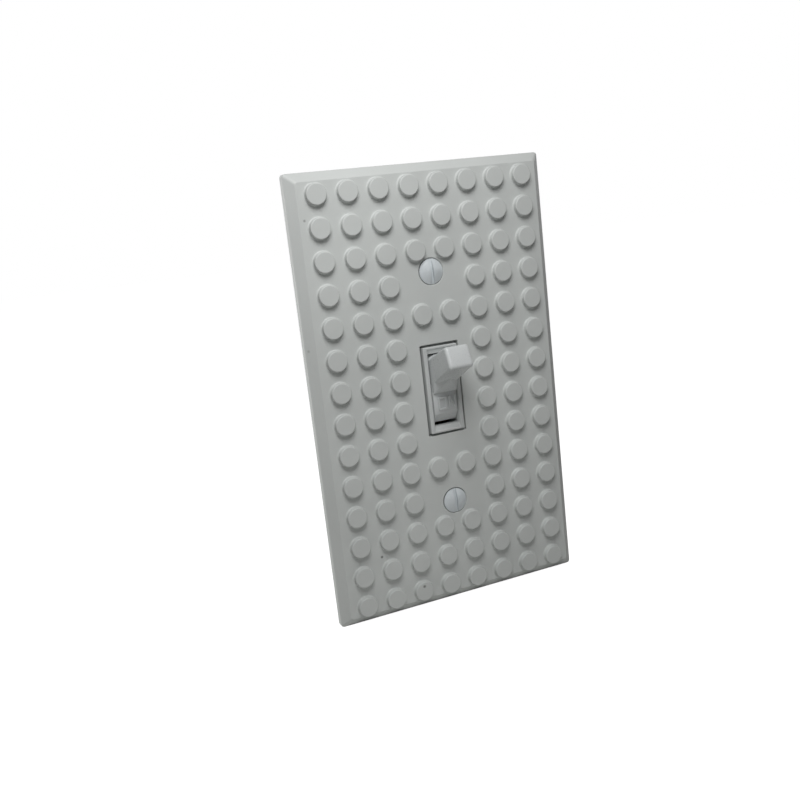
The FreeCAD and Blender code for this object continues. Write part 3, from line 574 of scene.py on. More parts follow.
def grain(tree, shader, place, size, height, strength=1.0, stretch=None):
    """Fine relief with features of this size; stretch draws it out along an axis, as brushing does."""
    vector = place
    if stretch:
        vector = add(tree, "ShaderNodeMapping", {"Vector": place, "Scale": stretch}).outputs[0]
    noise = add(tree, "ShaderNodeTexNoise", {"Vector": vector, "Scale": per_metre(size), "Detail": 3.0})
    bump = add(tree, "ShaderNodeBump", {
        "Height": noise.outputs["Fac"], "Distance": height * MM, "Strength": strength})
    tree.links.new(bump.outputs[0], shader.inputs["Normal"])
    return noise.outputs["Fac"]


def roughness_between(tree, shader, factor, low, high):
    """Roughness that follows a pattern between two values."""
    span = add(tree, "ShaderNodeMapRange", {
        "Value": factor, "From Min": 0.3, "From Max": 0.7, "To Min": low, "To Max": high})
    tree.links.new(span.outputs[0], shader.inputs["Roughness"])


def shade(colours, factor):
    """A darker or lighter tone of a linear colour."""
    return [min(1.0, value * factor) for value in colours]


def moulded_abs(name, base, roughness, tones=(0.955, 1.02), patch=26.0, specks=()):
    """Injection-moulded ABS with a fine spark-eroded skin: soft wide highlights and a faint drift of tone."""
    material, tree, shader, place = surface(name)
    set_shader(shader, IOR=1.53, Specular_IOR_Level=0.42)
    tone = varied_colour(tree, place, (shade(base, tones[0]), shade(base, tones[1])), patch)
    dirt = bpy.context.scene.finishes.dirt
    for spot, radius, strength in specks:
        away = add(tree, "ShaderNodeVectorMath", {0: place, 1: spot}, operation="DISTANCE")
        mask = add(tree, "ShaderNodeMapRange", {
            "Value": away.outputs["Value"], "From Min": radius * 0.35, "From Max": radius,
            "To Min": strength, "To Max": 0.0})
        tone = add(tree, "ShaderNodeMix", {
            "Factor": mask.outputs[0], 6: tone, 7: (*dirt, 1)}, data_type="RGBA").outputs[2]
    tree.links.new(tone, shader.inputs["Base Color"])
    # The real skin is about 0.05 mm fine and is drawn at 0.35 mm, so that it shows at this distance.
    fine = grain(tree, shader, place, 0.35, 0.012, 0.6)
    roughness_between(tree, shader, fine, roughness - 0.05, roughness + 0.06)
    return material


def enamelled_steel(name, base):
    """Steel with white stoving enamel: smoother and glossier than the plastic, with a slight orange peel."""
    material, tree, shader, place = surface(name)
    set_shader(shader, IOR=1.55, Coat_Weight=0.35, Coat_Roughness=0.12)
    tone = varied_colour(tree, place, (shade(base, 0.94), shade(base, 1.02)), 2.5)
    tree.links.new(tone, shader.inputs["Base Color"])
    peel = grain(tree, shader, place, 0.5, 0.015, 0.6)
    roughness_between(tree, shader, peel, 0.26, 0.36)
    return material


def plated_metal(name, dark, light, roughness, brushed=(1, 1, 1), patch=5.0):
    """Plated or bare metal: its tone varies in patches, and fine lines from rolling spread the gloss."""
    material, tree, shader, place = surface(name)
    set_shader(shader, Metallic=1.0)
    tree.links.new(varied_colour(tree, place, (linear(dark), linear(light)), patch),
                   shader.inputs["Base Color"])
    lines = grain(tree, shader, place, 0.25, 0.01, 0.7, stretch=brushed)
    roughness_between(tree, shader, lines, roughness - 0.07, roughness + 0.1)
    return material


def moulded_thermoset(name, base):
    """Compression-moulded urea resin: matt grey, with pale filler flecks and soft flow marks."""
    material, tree, shader, place = surface(name)
    set_shader(shader, IOR=1.58)
    flow = varied_colour(tree, place, (shade(base, 0.86), shade(base, 1.08)), 7.0)
    cells = add(tree, "ShaderNodeTexVoronoi", {"Vector": place, "Scale": per_metre(0.9)})
    flecks = add(tree, "ShaderNodeMapRange", {
        "Value": cells.outputs["Distance"], "From Min": 0.12, "From Max": 0.25, "To Min": 0.3, "To Max": 0.0})
    tone = add(tree, "ShaderNodeMix", {
        "Factor": flecks.outputs[0], 6: flow, 7: (*shade(base, 1.5), 1)}, data_type="RGBA").outputs[2]
    tree.links.new(tone, shader.inputs["Base Color"])
    fine = grain(tree, shader, place, 0.45, 0.02, 0.7)
    roughness_between(tree, shader, fine, 0.5, 0.65)
    return material


def dull_material(name, ior, dark, light, patch, roughness, lay=None):
    """A soft or fibrous material without gloss: mottled between two tones, with a coarse grain."""
    material, tree, shader, place = surface(name)
    set_shader(shader, IOR=ior)
    tree.links.new(varied_colour(tree, place, (linear(dark), linear(light)), patch),
                   shader.inputs["Base Color"])
    fine = grain(tree, shader, place, 0.3, 0.03, 0.8, stretch=lay)
    roughness_between(tree, shader, fine, *roughness)
    return material


def dirt_specks():
    """Places, sizes and strengths of the small dark marks on the face, a stud and the left side."""
    sizes = bpy.context.scene.plate_sizes
    face_y = PLATE_LOW.y + sizes.stud_height
    top_y = PLATE_LOW.y
    left = (2 - (sizes.columns - 1) / 2) * sizes.stud_pitch
    last_row = -(sizes.rows - 1) / 2 * sizes.stud_pitch
    return (
        ((-31.4 * MM, face_y, 45.9 * MM), 0.42 * MM, 0.5),
        ((-22.4 * MM, face_y, -40.4 * MM), 0.45 * MM, 0.85),
        ((left - 0.1 * MM, top_y, last_row + 1.2 * MM), 0.55 * MM, 0.75),
        ((-34.1 * MM, face_y + 1.5 * MM, 15.0 * MM), 0.5 * MM, 0.3),
    )


def hole_through_plate(bm, z):
    """The countersunk hole and the boss behind it, from the face to the hollow back."""
    sizes = bpy.context.scene.plate_sizes
    screws = bpy.context.scene.screw_sizes
    face_y = PLATE_LOW.y + sizes.stud_height
    inner_y = face_y + sizes.face_wall
    seat = screws.head_radius + screws.seat_gap
    bore = screws.shank_radius + sizes.screw_play
    cone_end_y = face_y + (seat - bore) / (screws.head_radius - screws.shank_radius) * screws.cone_depth
    path = soften([
        (seat + SEAT_FLAT, face_y, 0), (seat, face_y, sizes.seat_rounding),
        (bore, cone_end_y, sizes.boss_rounding / 2), (bore, -sizes.boss_lift, sizes.boss_rounding / 2),
        (sizes.boss_radius, -sizes.boss_lift, sizes.boss_rounding),
        (sizes.boss_radius, inner_y, sizes.boss_fillet),
        (sizes.boss_radius + 2 * sizes.boss_fillet + OVERLAP, inner_y, 0)], beside=2 * HAIR)
    sweep(bm, [circle(radius, depth, z) for radius, depth in path])


def plate_shell():
    """The plate without its studs: its face and the floor of its hollow back are still open."""
    sizes = bpy.context.scene.plate_sizes
    collar = bpy.context.scene.collar_sizes
    width = PLATE_HIGH.x - PLATE_LOW.x
    height = PLATE_HIGH.z - PLATE_LOW.z
    face_y = PLATE_LOW.y + sizes.stud_height
    inner_y = face_y + sizes.face_wall
    bevel_y = face_y + sizes.bevel_drop
    bm = bmesh.new()
    path = soften([
        (sizes.rim_wall + RIM_FLAT, inner_y, 0), (sizes.rim_wall, inner_y, sizes.inner_rounding),
        (sizes.rim_wall, 0, sizes.lip_rounding), (0, 0, sizes.boss_rounding),
        (0, bevel_y, sizes.edge_rounding), (sizes.bevel_width, face_y, sizes.bevel_rounding),
        (sizes.bevel_width + sizes.bevel_rounding, face_y, 0)], beside=FLAT_BESIDE / 2)
    sweep(bm, [outline(width - 2 * inset, height - 2 * inset, sizes.corner_radius, depth)
               for inset, depth in path])
    opening_width = collar.width + 2 * sizes.opening_gap
    opening_height = collar.height + 2 * sizes.opening_gap
    path = soften([(RIM_FLAT / 2, face_y, 0), (0, face_y, sizes.lip_rounding),
                   (0, inner_y, FLAT_BESIDE), (RIM_FLAT / 2, inner_y, 0)])
    sweep(bm, [outline(opening_width + 2 * grow, opening_height + 2 * grow, collar.corner_radius + grow,
                       depth) for grow, depth in path])
    screw_z = (SCREWS_HIGH.z - SCREWS_LOW.z) / 2 - bpy.context.scene.screw_sizes.head_radius
    for z in (screw_z, -screw_z):
        hole_through_plate(bm, z)
    return bm


def squeeze_outer_fillets(mesh, base, outer):
    """Narrows the feet of the first and last row of studs, which would run over the plate's bevel."""
    sizes = bpy.context.scene.plate_sizes
    room = (PLATE_HIGH.z - PLATE_LOW.z) / 2 - sizes.bevel_width - sizes.bevel_rounding - HAIR
    foot_y = PLATE_LOW.y + sizes.stud_height - sizes.stud_fillet - OVERLAP
    row = (sizes.rows - 1) / 2 * sizes.stud_pitch
    shift = (sizes.columns - 1) / 2 * sizes.stud_pitch
    for vert in mesh.vertices:
        side = math.copysign(1, vert.co.z)
        row_z = side * row - sizes.stud_lowering
        up = (vert.co.z - row_z) * side
        middle = round((vert.co.x + shift) / sizes.stud_pitch) * sizes.stud_pitch - shift
        away = math.hypot(vert.co.x - middle, up)
        if up <= 0 or vert.co.y < foot_y:
            continue
        allowed = (room - abs(row_z)) * away / up
        foot = min(base, allowed - 2 * HAIR)
        if allowed < outer:
            reach = foot + max(0, away - base) * (allowed - foot) / (outer - base)
            scale = min(reach, away) / away
            vert.co.x = middle + (vert.co.x - middle) * scale
            vert.co.z = row_z + side * up * scale


def close_level(bm, depth):
    """Fills between all open edges at this depth."""
    level = [edge for edge in bm.edges if edge.is_boundary
             and all(abs(vert.co.y - depth) < 1e-6 for vert in edge.verts)]
    bmesh.ops.triangle_fill(bm, edges=level, use_beauty=True, use_dissolve=False, normal=(0, -1, 0))


class SWITCHPLATE_OT_plate(bpy.types.Operator):
    """Makes the moulded wall plate: bevelled rim, hollow back, holes and a grid of studs in one piece"""

    bl_idname = "switchplate.plate"
    bl_label = "Wall plate"

    def execute(self, context):
        sizes = context.scene.plate_sizes
        collar = context.scene.collar_sizes
        screws = context.scene.screw_sizes
        face_y = PLATE_LOW.y + sizes.stud_height
        base = sizes.stud_radius + sizes.stud_draft
        top = sizes.stud_radius - sizes.stud_draft
        bm = bmesh.new()
        outer = base + sizes.stud_fillet + STUD_FLAT
        path = soften([
            (outer, 0, 0), (base, 0, sizes.stud_fillet),
            (top, -sizes.stud_height, sizes.stud_rounding), (FLAT_RADIUS, -sizes.stud_height, 0)],
            beside=3 * HAIR)
        lathe(bm, path, segments=STUD_SEGMENTS, close_start=False)
        studs = as_object("studs", bm)
        material = moulded_abs("moulded_abs_plate", context.scene.finishes.plate, 0.5, specks=dirt_specks())
        repeat(studs, stud_field_tree(), {
            "Pitch": sizes.stud_pitch, "Columns": sizes.columns, "Rows": sizes.rows, "Face depth": face_y,
            "Middle height": -sizes.stud_lowering,
            "Screw height": (SCREWS_HIGH.z - SCREWS_LOW.z) / 2 - screws.head_radius,
            "Screw room": sizes.stud_screw_room,
            "Half width": collar.width / 2 + sizes.opening_gap + sizes.stud_radius,
            "Half height": collar.height / 2 + sizes.opening_gap + sizes.stud_radius,
            "Material": material})
        squeeze_outer_fillets(studs.data, base, outer)
        bm = plate_shell()
        bm.from_mesh(studs.data)
        bpy.data.objects.remove(studs)
        close_level(bm, face_y)
        close_level(bm, face_y + sizes.face_wall)
        if any(edge.is_boundary for edge in bm.edges):
            raise RuntimeError("the wall plate isn't closed")
        dress(as_object("studded_plate", bm), material, "housing", ["wall_plate"])
        return {"FINISHED"}


class SWITCHPLATE_OT_collar(bpy.types.Operator):
    """Makes the collar that stands in the plate's opening, with the cover and keepers behind it"""

    bl_idname = "switchplate.collar"
    bl_label = "Collar and cover"

    def execute(self, context):
        sizes = context.scene.collar_sizes
        rim_y = COVER_LOW.y
        back_y = sizes.cover_thickness
        foot_y = -sizes.foot_depth
        cover_width = COVER_HIGH.x - COVER_LOW.x
        cover_height = COVER_HIGH.z - COVER_LOW.z
        bm = bmesh.new()
        rings = []

        def ring(width, height, radius, depth):
            rings.append(outline(width, height, radius, depth))

        bevel = sizes.cover_edge
        for depth, shrink in ((back_y, bevel), (back_y - bevel, 0), (bevel, 0), (0, bevel)):
            ring(cover_width - 2 * shrink, cover_height - 2 * shrink, sizes.cover_corner - shrink, depth)
        ring(sizes.foot_width, sizes.foot_height, sizes.corner_radius, 0)
        ring(sizes.foot_width, sizes.foot_height, sizes.corner_radius, foot_y)
        ring(sizes.width, sizes.height, sizes.corner_radius, foot_y)
        edge = sizes.rounding
        for step in range(ROUND_STEPS + 1):
            angle = math.pi / 2 * step / ROUND_STEPS
            inset = edge * (1 - math.cos(angle))
            ring(sizes.width - 2 * inset, sizes.height - 2 * inset, sizes.corner_radius - inset,
                 rim_y + edge * (1 - math.sin(angle)))
        for step in range(ROUND_STEPS + 1):
            angle = math.pi / 2 * step / ROUND_STEPS
            grow = edge * (1 - math.sin(angle))
            ring(sizes.mouth_width + 2 * grow, sizes.mouth_height + 2 * grow, edge + grow,
                 rim_y + edge * (1 - math.cos(angle)))
        ring(sizes.throat_width, sizes.throat_height, edge, rim_y + sizes.lip_depth)
        arc_start = PIVOT.y - math.sqrt(sizes.sweep_radius**2 - (sizes.throat_height / 2) ** 2)
        for step in range(ROUND_STEPS + 1):
            depth = arc_start + (back_y - arc_start) * step / ROUND_STEPS
            half = math.sqrt(sizes.sweep_radius**2 - (PIVOT.y - depth) ** 2)
            ring(sizes.throat_width, 2 * half, edge, depth)
        first, last = sweep(bm, rings)
        bridge(bm, last, first)
        piece = as_object("collar_moulding", bm)
        for side in (1, -1):
            bm = bmesh.new()
            lathe(bm, [(sizes.rivet_hole, -PAST_CUT), (sizes.rivet_hole, back_y + PAST_CUT)],
                  side * sizes.rivet_spacing / 2)
            carve(piece, as_object("rivet_hole", bm))
        bm = bmesh.new()
        bm.from_mesh(piece.data)
        self.add_keepers(bm, sizes)
        bpy.data.objects.remove(piece)
        material = moulded_abs("moulded_abs_collar", context.scene.finishes.collar, 0.42)
        dress(as_object("collar_moulding", bm), material, "housing", ["collar_cover"])
        return {"FINISHED"}

    def add_keepers(self, bm, sizes):
        """Two tongues behind the cover, whose hollow ends hold the toggle's trunnions down."""
        start_y = sizes.cover_thickness - OVERLAP
        half = sizes.keeper_half
        profile = [(start_y, half), (start_y, -half)]
        for step in range(CORNER_STEPS * 2 + 1):
            across = half * (step / CORNER_STEPS - 1)
            profile.append((PIVOT.y - math.sqrt(sizes.bearing_radius**2 - across**2), across))
        for side in (1, -1):
            prism(bm, [profile], side * sizes.keeper_inner, side * sizes.keeper_outer,
                  lambda depth, up, along: Vector((along, depth, up)))


def bar(first, second, stroke):
    """Corners of an upright bar between two (across, up) points, cut level at its ends."""
    return [(first[0] - stroke / 2, first[1]), (first[0] + stroke / 2, first[1]),
            (second[0] + stroke / 2, second[1]), (second[0] - stroke / 2, second[1])]


def letter_loops(letter, left, right, bottom, top, stroke):
    """Outline of a plain block letter in its box, as one or two loops of (across, up) points."""
    middle = (bottom + top) / 2
    if letter == "O":
        loops = []
        for inset, radius in ((0, stroke * 0.8), (stroke, stroke * 0.35)):
            ring = outline(right - left - 2 * inset, top - bottom - 2 * inset, radius, 0)
            loops.append([(point.x + (left + right) / 2, point.z + middle) for point in ring])
        return loops
    if letter == "N":
        lean = stroke * 1.15
        return [[(left, bottom), (left + stroke, bottom), (left + stroke, top - lean * 1.4),
                 (right - stroke, bottom), (right, bottom), (right, top), (right - stroke, top),
                 (right - stroke, bottom + lean * 1.4), (left + stroke, top), (left, top)]]
    return [[(left, bottom), (left + stroke, bottom), (left + stroke, middle - stroke / 2),
             (right - stroke * 0.5, middle - stroke / 2), (right - stroke * 0.5, middle + stroke / 2),
             (left + stroke, middle + stroke / 2), (left + stroke, top - stroke), (right, top - stroke),
             (right, top), (left, top)]]


class SWITCHPLATE_OT_toggle(bpy.types.Operator):
    """Makes the toggle lever: handle, round base with lettered flats, hub, trunnions and spring nub"""

    bl_idname = "switchplate.toggle"
    bl_label = "Toggle lever"

    def execute(self, context):
        sizes = context.scene.toggle_sizes
        bm = bmesh.new()
        self.add_base(bm, sizes)
        self.add_handle(bm, sizes)
        self.add_flare(bm, sizes)
        self.add_hub(bm, sizes)
        self.turn(bm.verts, -sizes.tilt)
        self.add_word(bm, sizes, *WORD_ON, 0)
        self.add_word(bm, sizes, *WORD_OFF, -2 * sizes.tilt)
        material = moulded_abs("moulded_abs_toggle", context.scene.finishes.toggle, 0.3, patch=9.0)
        dress(as_object("toggle_moulding", bm), material, "toggle", ["toggle_lever"])
        return {"FINISHED"}

    def turn(self, verts, angle):
        """Turns vertices about the pivot: a negative angle lifts the front side."""
        place = Matrix.Translation(PIVOT) @ Matrix.Rotation(angle, 4, "X") @ Matrix.Translation(-PIVOT)
        for vert in verts:
            vert.co = place @ vert.co

    def add_base(self, bm, sizes):
        """The round base with its two flats, hollow behind, as a prism across X with bevelled sides."""
        inner = sizes.panel_distance - sizes.shell
        web = sizes.root_height / 2
        crease = sizes.tilt + math.acos(sizes.panel_distance / sizes.base_radius)
        root = (sizes.panel_distance - web * math.sin(sizes.tilt)) / math.cos(sizes.tilt)
        half_outline = [(root, web)]
        for step in range(ARC_STEPS + 1):
            angle = crease + (sizes.end_angle - crease) * step / ARC_STEPS
            half_outline.append((sizes.base_radius * math.cos(angle), sizes.base_radius * math.sin(angle)))
        hollow_start = math.asin(web / inner)
        for step in range(ARC_STEPS + 1):
            angle = sizes.end_angle + (hollow_start - sizes.end_angle) * step / ARC_STEPS
            half_outline.append((inner * math.cos(angle), inner * math.sin(angle)))
        half_outline.append((web / math.tan(sizes.end_angle), web))
        loop = half_outline + [(along, -up) for along, up in reversed(half_outline)]
        part = bmesh.new()
        prism(part, [loop], -sizes.root_width / 2, sizes.root_width / 2,
              lambda along, up, across: Vector((across, PIVOT.y - along, up)))
        bmesh.ops.recalc_face_normals(part, faces=part.faces)
        bevel_sharp(part, sizes.base_edge, CORNER_ANGLE, 3)
        self.merge(bm, part)

    def merge(self, bm, part):
        """Moves one shape's faces into another."""
        mesh = bpy.data.meshes.new("part")
        part.to_mesh(mesh)
        part.free()
        bm.from_mesh(mesh)
        bpy.data.meshes.remove(mesh)

    def add_handle(self, bm, sizes):
        """The tapered handle, with rounded long edges and a slightly bulging tip."""
        edge = sizes.tip_rounding
        reach = sizes.reach - sizes.tip_crown

        def section(along, inset, corner):
            share = (along - sizes.root_distance) / (sizes.reach - sizes.root_distance)
            width = sizes.root_width + (sizes.tip_width - sizes.root_width) * share - 2 * inset
            height = sizes.root_height + (sizes.tip_height - sizes.root_height) * share - 2 * inset
            return outline(width, height, corner, PIVOT.y - along)

        corner = sizes.long_edge_rounding
        rings = [section(sizes.root_distance, 0, corner), section(reach - edge - FLAT_BESIDE, 0, corner)]
        for step in range(ROUND_STEPS + 1):
            angle = math.pi / 2 * step / ROUND_STEPS
            inset = edge * (1 - math.cos(angle))
            rings.append(section(reach - edge * (1 - math.sin(angle)), inset, corner))
        for share in CROWN_SHARES:
            crown = sizes.tip_crown * (1 - share**2)
            width = (sizes.tip_width - 2 * edge) * share
            height = (sizes.tip_height - 2 * edge) * share
            rings.append(outline(width, height, corner * share, PIVOT.y - reach - crown))
        first, last = sweep(bm, rings)
        cap(bm, first)
        cap(bm, last)

    def add_flare(self, bm, sizes):
        """The pointed wedges that thicken the lever's root below and above, and stand proud of the flats."""
        half = sizes.root_width / 2 - sizes.flare_inset

        def skin(along):
            share = (along - sizes.root_distance) / (sizes.reach - sizes.root_distance)
            return (sizes.root_height + (sizes.tip_height - sizes.root_height) * share) / 2

        point, shoulder = sizes.flare_point, sizes.flare_shoulder
        corners = [(0, point, skin(point)), (0, point, sizes.flare_sunk)]
        for across in (-half, half):
            corners += [(across, shoulder, skin(shoulder)), (across, shoulder, sizes.flare_sunk),
                        (across, sizes.flare_end, sizes.flare_half_height),
                        (across, sizes.flare_foot_distance, sizes.flare_foot_height),
                        (across, sizes.flare_foot_distance, sizes.flare_sunk)]
        for side in (-1, 1):
            part = bmesh.new()
            for across, along, up in corners:
                part.verts.new((across, PIVOT.y - along, side * up))
            bmesh.ops.convex_hull(part, input=part.verts)
            bmesh.ops.recalc_face_normals(part, faces=part.faces)
            bevel_sharp(part, sizes.flare_edge, FACET_ANGLE)
            self.merge(bm, part)

    def add_hub(self, bm, sizes):
        """The hub, the two trunnions that it turns on and the nub that the spring sits on."""
        def ends(radius, reach):
            return [[Vector((side * reach, PIVOT.y + point.x, point.z)) for point in circle(radius, 0)]
                    for side in (-1, 1)]

        for radius, reach in ((sizes.hub_radius, sizes.root_width / 2),
                              (sizes.trunnion_radius, sizes.trunnion_reach)):
            first, last = sweep(bm, ends(radius, reach))
            cap(bm, first)
            cap(bm, last)
        nub_y = PIVOT.y + sizes.nub_distance
        path = [(sizes.neck_radius, PIVOT.y), (sizes.neck_radius, nub_y - sizes.nub_radius * 0.66)]
        for step in range(1, NUB_STEPS):
            angle = NUB_START + (math.pi / 2 - NUB_START) * step / NUB_STEPS
            path.append((sizes.nub_radius * math.cos(angle), nub_y + sizes.nub_radius * math.sin(angle)))
        lathe(bm, path, segments=STUD_SEGMENTS)

    def add_word(self, bm, sizes, letters, bottom, top, angle):
        """Raised block letters on a flat that faces the front, turned with it to where it belongs."""
        flat_y = PIVOT.y - sizes.panel_distance
        for letter, left, right in letters:
            part = bmesh.new()
            loops = letter_loops(letter, left * MM, right * MM, bottom * MM, top * MM, sizes.letter_stroke)
            prism(part, loops, flat_y + OVERLAP, flat_y - sizes.letter_rise)
            bmesh.ops.recalc_face_normals(part, faces=part.faces)
            front = [edge for edge in part.edges if len(edge.link_faces) == 2
                     and edge.calc_face_angle() > CORNER_ANGLE
                     and all(vert.co.y < flat_y for vert in edge.verts)]
            bmesh.ops.bevel(part, geom=front, offset=sizes.letter_edge, segments=2, profile=0.5,
                            affect="EDGES", clamp_overlap=True)
            self.turn(part.verts, angle)
            self.merge(bm, part)


def threaded_rings(sizes, start_y, end_y, z=0.0):
    """Rings of a screw thread, whose depth follows a helix and fades out at both ends."""
    row_step = sizes.thread_pitch / THREAD_ROWS
    count = int((end_y - start_y) / row_step)
    rings = []
    for row in range(count + 1):
        depth = start_y + (end_y - start_y) * row / count
        fade = min(1.0, row / THREAD_ROWS, (count - row) / THREAD_ROWS)
        ring = []
        for segment in range(THREAD_SEGMENTS):
            turn = segment / THREAD_SEGMENTS
            phase = ((depth - start_y) / sizes.thread_pitch + turn) % 1.0
            height = min(1.0, 2.4 * min(phase, 1 - phase))
            radius = sizes.shank_radius - sizes.thread_depth * (1 - height * fade)
            angle = 2 * math.pi * turn
            ring.append(Vector((radius * math.cos(angle), depth, z + radius * math.sin(angle))))
        rings.append(ring)
    return rings


def threaded_screw(name, head, sizes, start_y, end_y):
    """One screw: its cut head, and a threaded shank with a narrowed tip."""
    bm = bmesh.new()
    bm.from_mesh(head.data)
    first, last = sweep(bm, threaded_rings(sizes, start_y, end_y - sizes.tip_run))
    cap(bm, first)
    end = [bm.verts.new((vert.co.x * sizes.tip_share, end_y, vert.co.z * sizes.tip_share)) for vert in last]
    bridge(bm, last, end)
    cap(bm, end)
    bpy.data.objects.remove(head)
    return as_object(name, bm)


def slot_cutter(width, reach, low_y, high_y, along_x=False):
    """A bar that cuts a screw's slot."""
    bm = bmesh.new()
    half = width / 2
    across, up = (reach, half) if along_x else (half, reach)
    loop = [(-across, -up), (across, -up), (across, up), (-across, up)]
    prism(bm, [loop], low_y, high_y)
    return as_object("slot", bm)


def soften_edges(piece, width):
    """Bevels the sharp edges of a cut head."""
    modifier = piece.modifiers.new("Edges", "BEVEL")
    modifier.width = width
    modifier.segments = 2
    modifier.limit_method = "ANGLE"
    modifier.angle_limit = HEAD_ANGLE
    settle(piece)


class SWITCHPLATE_OT_plate_screws(bpy.types.Operator):
    """Makes the two slotted oval-head screws with their threads"""

    bl_idname = "switchplate.plate_screws"
    bl_label = "Plate screws"

    def execute(self, context):
        sizes = context.scene.screw_sizes
        face_y = PLATE_LOW.y + context.scene.plate_sizes.stud_height
        ball = (sizes.head_radius**2 + sizes.dome**2) / (2 * sizes.dome)
        bm = bmesh.new()
        path = []
        for step in range(1, DOME_STEPS):
            radius = sizes.head_radius * step / DOME_STEPS
            path.append((radius, face_y - sizes.dome + ball - math.sqrt(ball**2 - radius**2)))
        rim = sizes.rim
        tuck = sizes.head_radius - rim * 0.4
        path += [(tuck, face_y - rim), (sizes.head_radius, face_y + rim * 0.2), (tuck, face_y + rim)]
        core = sizes.shank_radius - sizes.thread_depth
        path.append((sizes.shank_radius, face_y + sizes.cone_depth))
        path.append((core, face_y + sizes.cone_depth + sizes.neck_run))
        rings = [circle(radius, depth, segments=THREAD_SEGMENTS * 2) for radius, depth in path]
        first, last = sweep(bm, rings)
        cap(bm, first)
        cap(bm, last)
        head = as_object("plate_screw_pair", bm)
        carve(head, slot_cutter(sizes.slot_width, sizes.head_radius + PAST_CUT,
                                face_y - sizes.dome - PAST_CUT, face_y - sizes.dome + sizes.slot_depth))
        soften_edges(head, sizes.slot_edge)
        piece = threaded_screw("plate_screw_pair", head, sizes, face_y + sizes.cone_depth, SCREWS_HIGH.y)
        material = enamelled_steel("enamelled_steel_screws", context.scene.finishes.screws)
        repeat(piece, screw_pair_tree(), {
            "Spacing": SCREWS_HIGH.z - SCREWS_LOW.z - 2 * sizes.head_radius, "First turn": sizes.first_turn,
            "Second turn": sizes.second_turn, "Material": material})
        dress(piece, material, "housing", ["plate_screws"])
        return {"FINISHED"}


class SWITCHPLATE_OT_box_screws(bpy.types.Operator):
    """Makes the two threaded screws that hold the strap to the wall box"""

    bl_idname = "switchplate.box_screws"
    bl_label = "Box screws"

    def execute(self, context):
        sizes = context.scene.screw_sizes
        top_y = BOX_SCREWS_LOW.y
        seat_y = top_y + sizes.box_head_height
        bm = bmesh.new()
        path = soften([
            (FLAT_RADIUS, top_y, 0), (sizes.box_head_radius, top_y, sizes.box_head_height * 0.6),
            (sizes.box_head_radius, seat_y, sizes.slot_edge), (sizes.box_neck_radius, seat_y, 0),
            (sizes.box_neck_radius, sizes.box_thread_start + 2 * OVERLAP, 0)], beside=HAIR)
        lathe(bm, path, segments=THREAD_SEGMENTS * 2)
        head = as_object("box_screw_pair", bm)
        carve(head, slot_cutter(sizes.slot_width, sizes.box_head_radius + PAST_CUT, top_y - PAST_CUT,
                                top_y + sizes.box_head_height / 2, along_x=True))
        soften_edges(head, sizes.slot_edge)
        piece = threaded_screw("box_screw_pair", head, sizes, sizes.box_thread_start, BOX_SCREWS_HIGH.y)
        material = plated_metal("zinc_plated_steel_screws", "8F9290", "C2C4C0", 0.34)
        repeat(piece, screw_pair_tree(), {
            "Spacing": BOX_SCREWS_HIGH.z - BOX_SCREWS_LOW.z - 2 * sizes.box_head_radius, "First turn": 0.0,
            "Second turn": 0.0, "Material": material})
        dress(piece, material, "housing", ["box_screws"])
        return {"FINISHED"}


class SWITCHPLATE_OT_carried_parts(bpy.types.Operator):
    """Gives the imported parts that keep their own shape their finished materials"""

    bl_idname = "switchplate.carried_parts"
    bl_label = "Strap, housing and contacts"

    def execute(self, context):
        finishes = context.scene.finishes
        steel = plated_metal("zinc_plated_steel", "9A9C98", "C6C8C3", 0.36, brushed=(1, 1, 0.12))
        rivet_steel = plated_metal("zinc_plated_rivets", "8C8E8B", "BDBFBB", 0.42)
        brass = plated_metal("stamped_brass", "9C7A3A", "C9A55C", 0.3, brushed=(0.15, 1, 1))
        silver = plated_metal("silver_contacts", "B9B8B2", "DEDCD5", 0.28)
        spring = plated_metal("music_wire", "6E7072", "A2A4A5", 0.32)
        green = plated_metal("green_dyed_zinc", "1E5A35", "3C8A57", 0.4)
        body = moulded_thermoset("moulded_urea_housing", finishes.body)
        # Vulcanised fibre sheet is red-brown and mottled, with a faint lay of its fibres.
        fibre = dull_material("vulcanised_fibre", 1.5, "5E2B1E", "8A4A33", 1.4, (0.6, 0.8), (1, 1, 0.25))
        # Moulded black rubber is dark and dull, and slightly dusty.
        rubber = dull_material("moulded_rubber", 1.52, "1C1C1B", "333230", 1.2, (0.68, 0.85))
        wanted = {
            "mounting_strap": steel, "ground_terminal": steel, "strap_rivets": rivet_steel,
            "ground_rivet": rivet_steel, "contact_arm": brass, "line_terminal": brass,
            "load_terminal": brass, "terminal_screws": brass, "moving_contact": silver,
            "fixed_contact": silver, "toggle_spring": spring, "ground_screw": green,
            "switch_body": body, "screw_retainers": fibre, "bumper_pad": rubber}
        for node, material in wanted.items():
            slots = frame["nodes"][node].material_slots
            if not slots:
                raise RuntimeError(node + " has no material slot")
            for slot in slots:
                slot.material = material
        return {"FINISHED"}


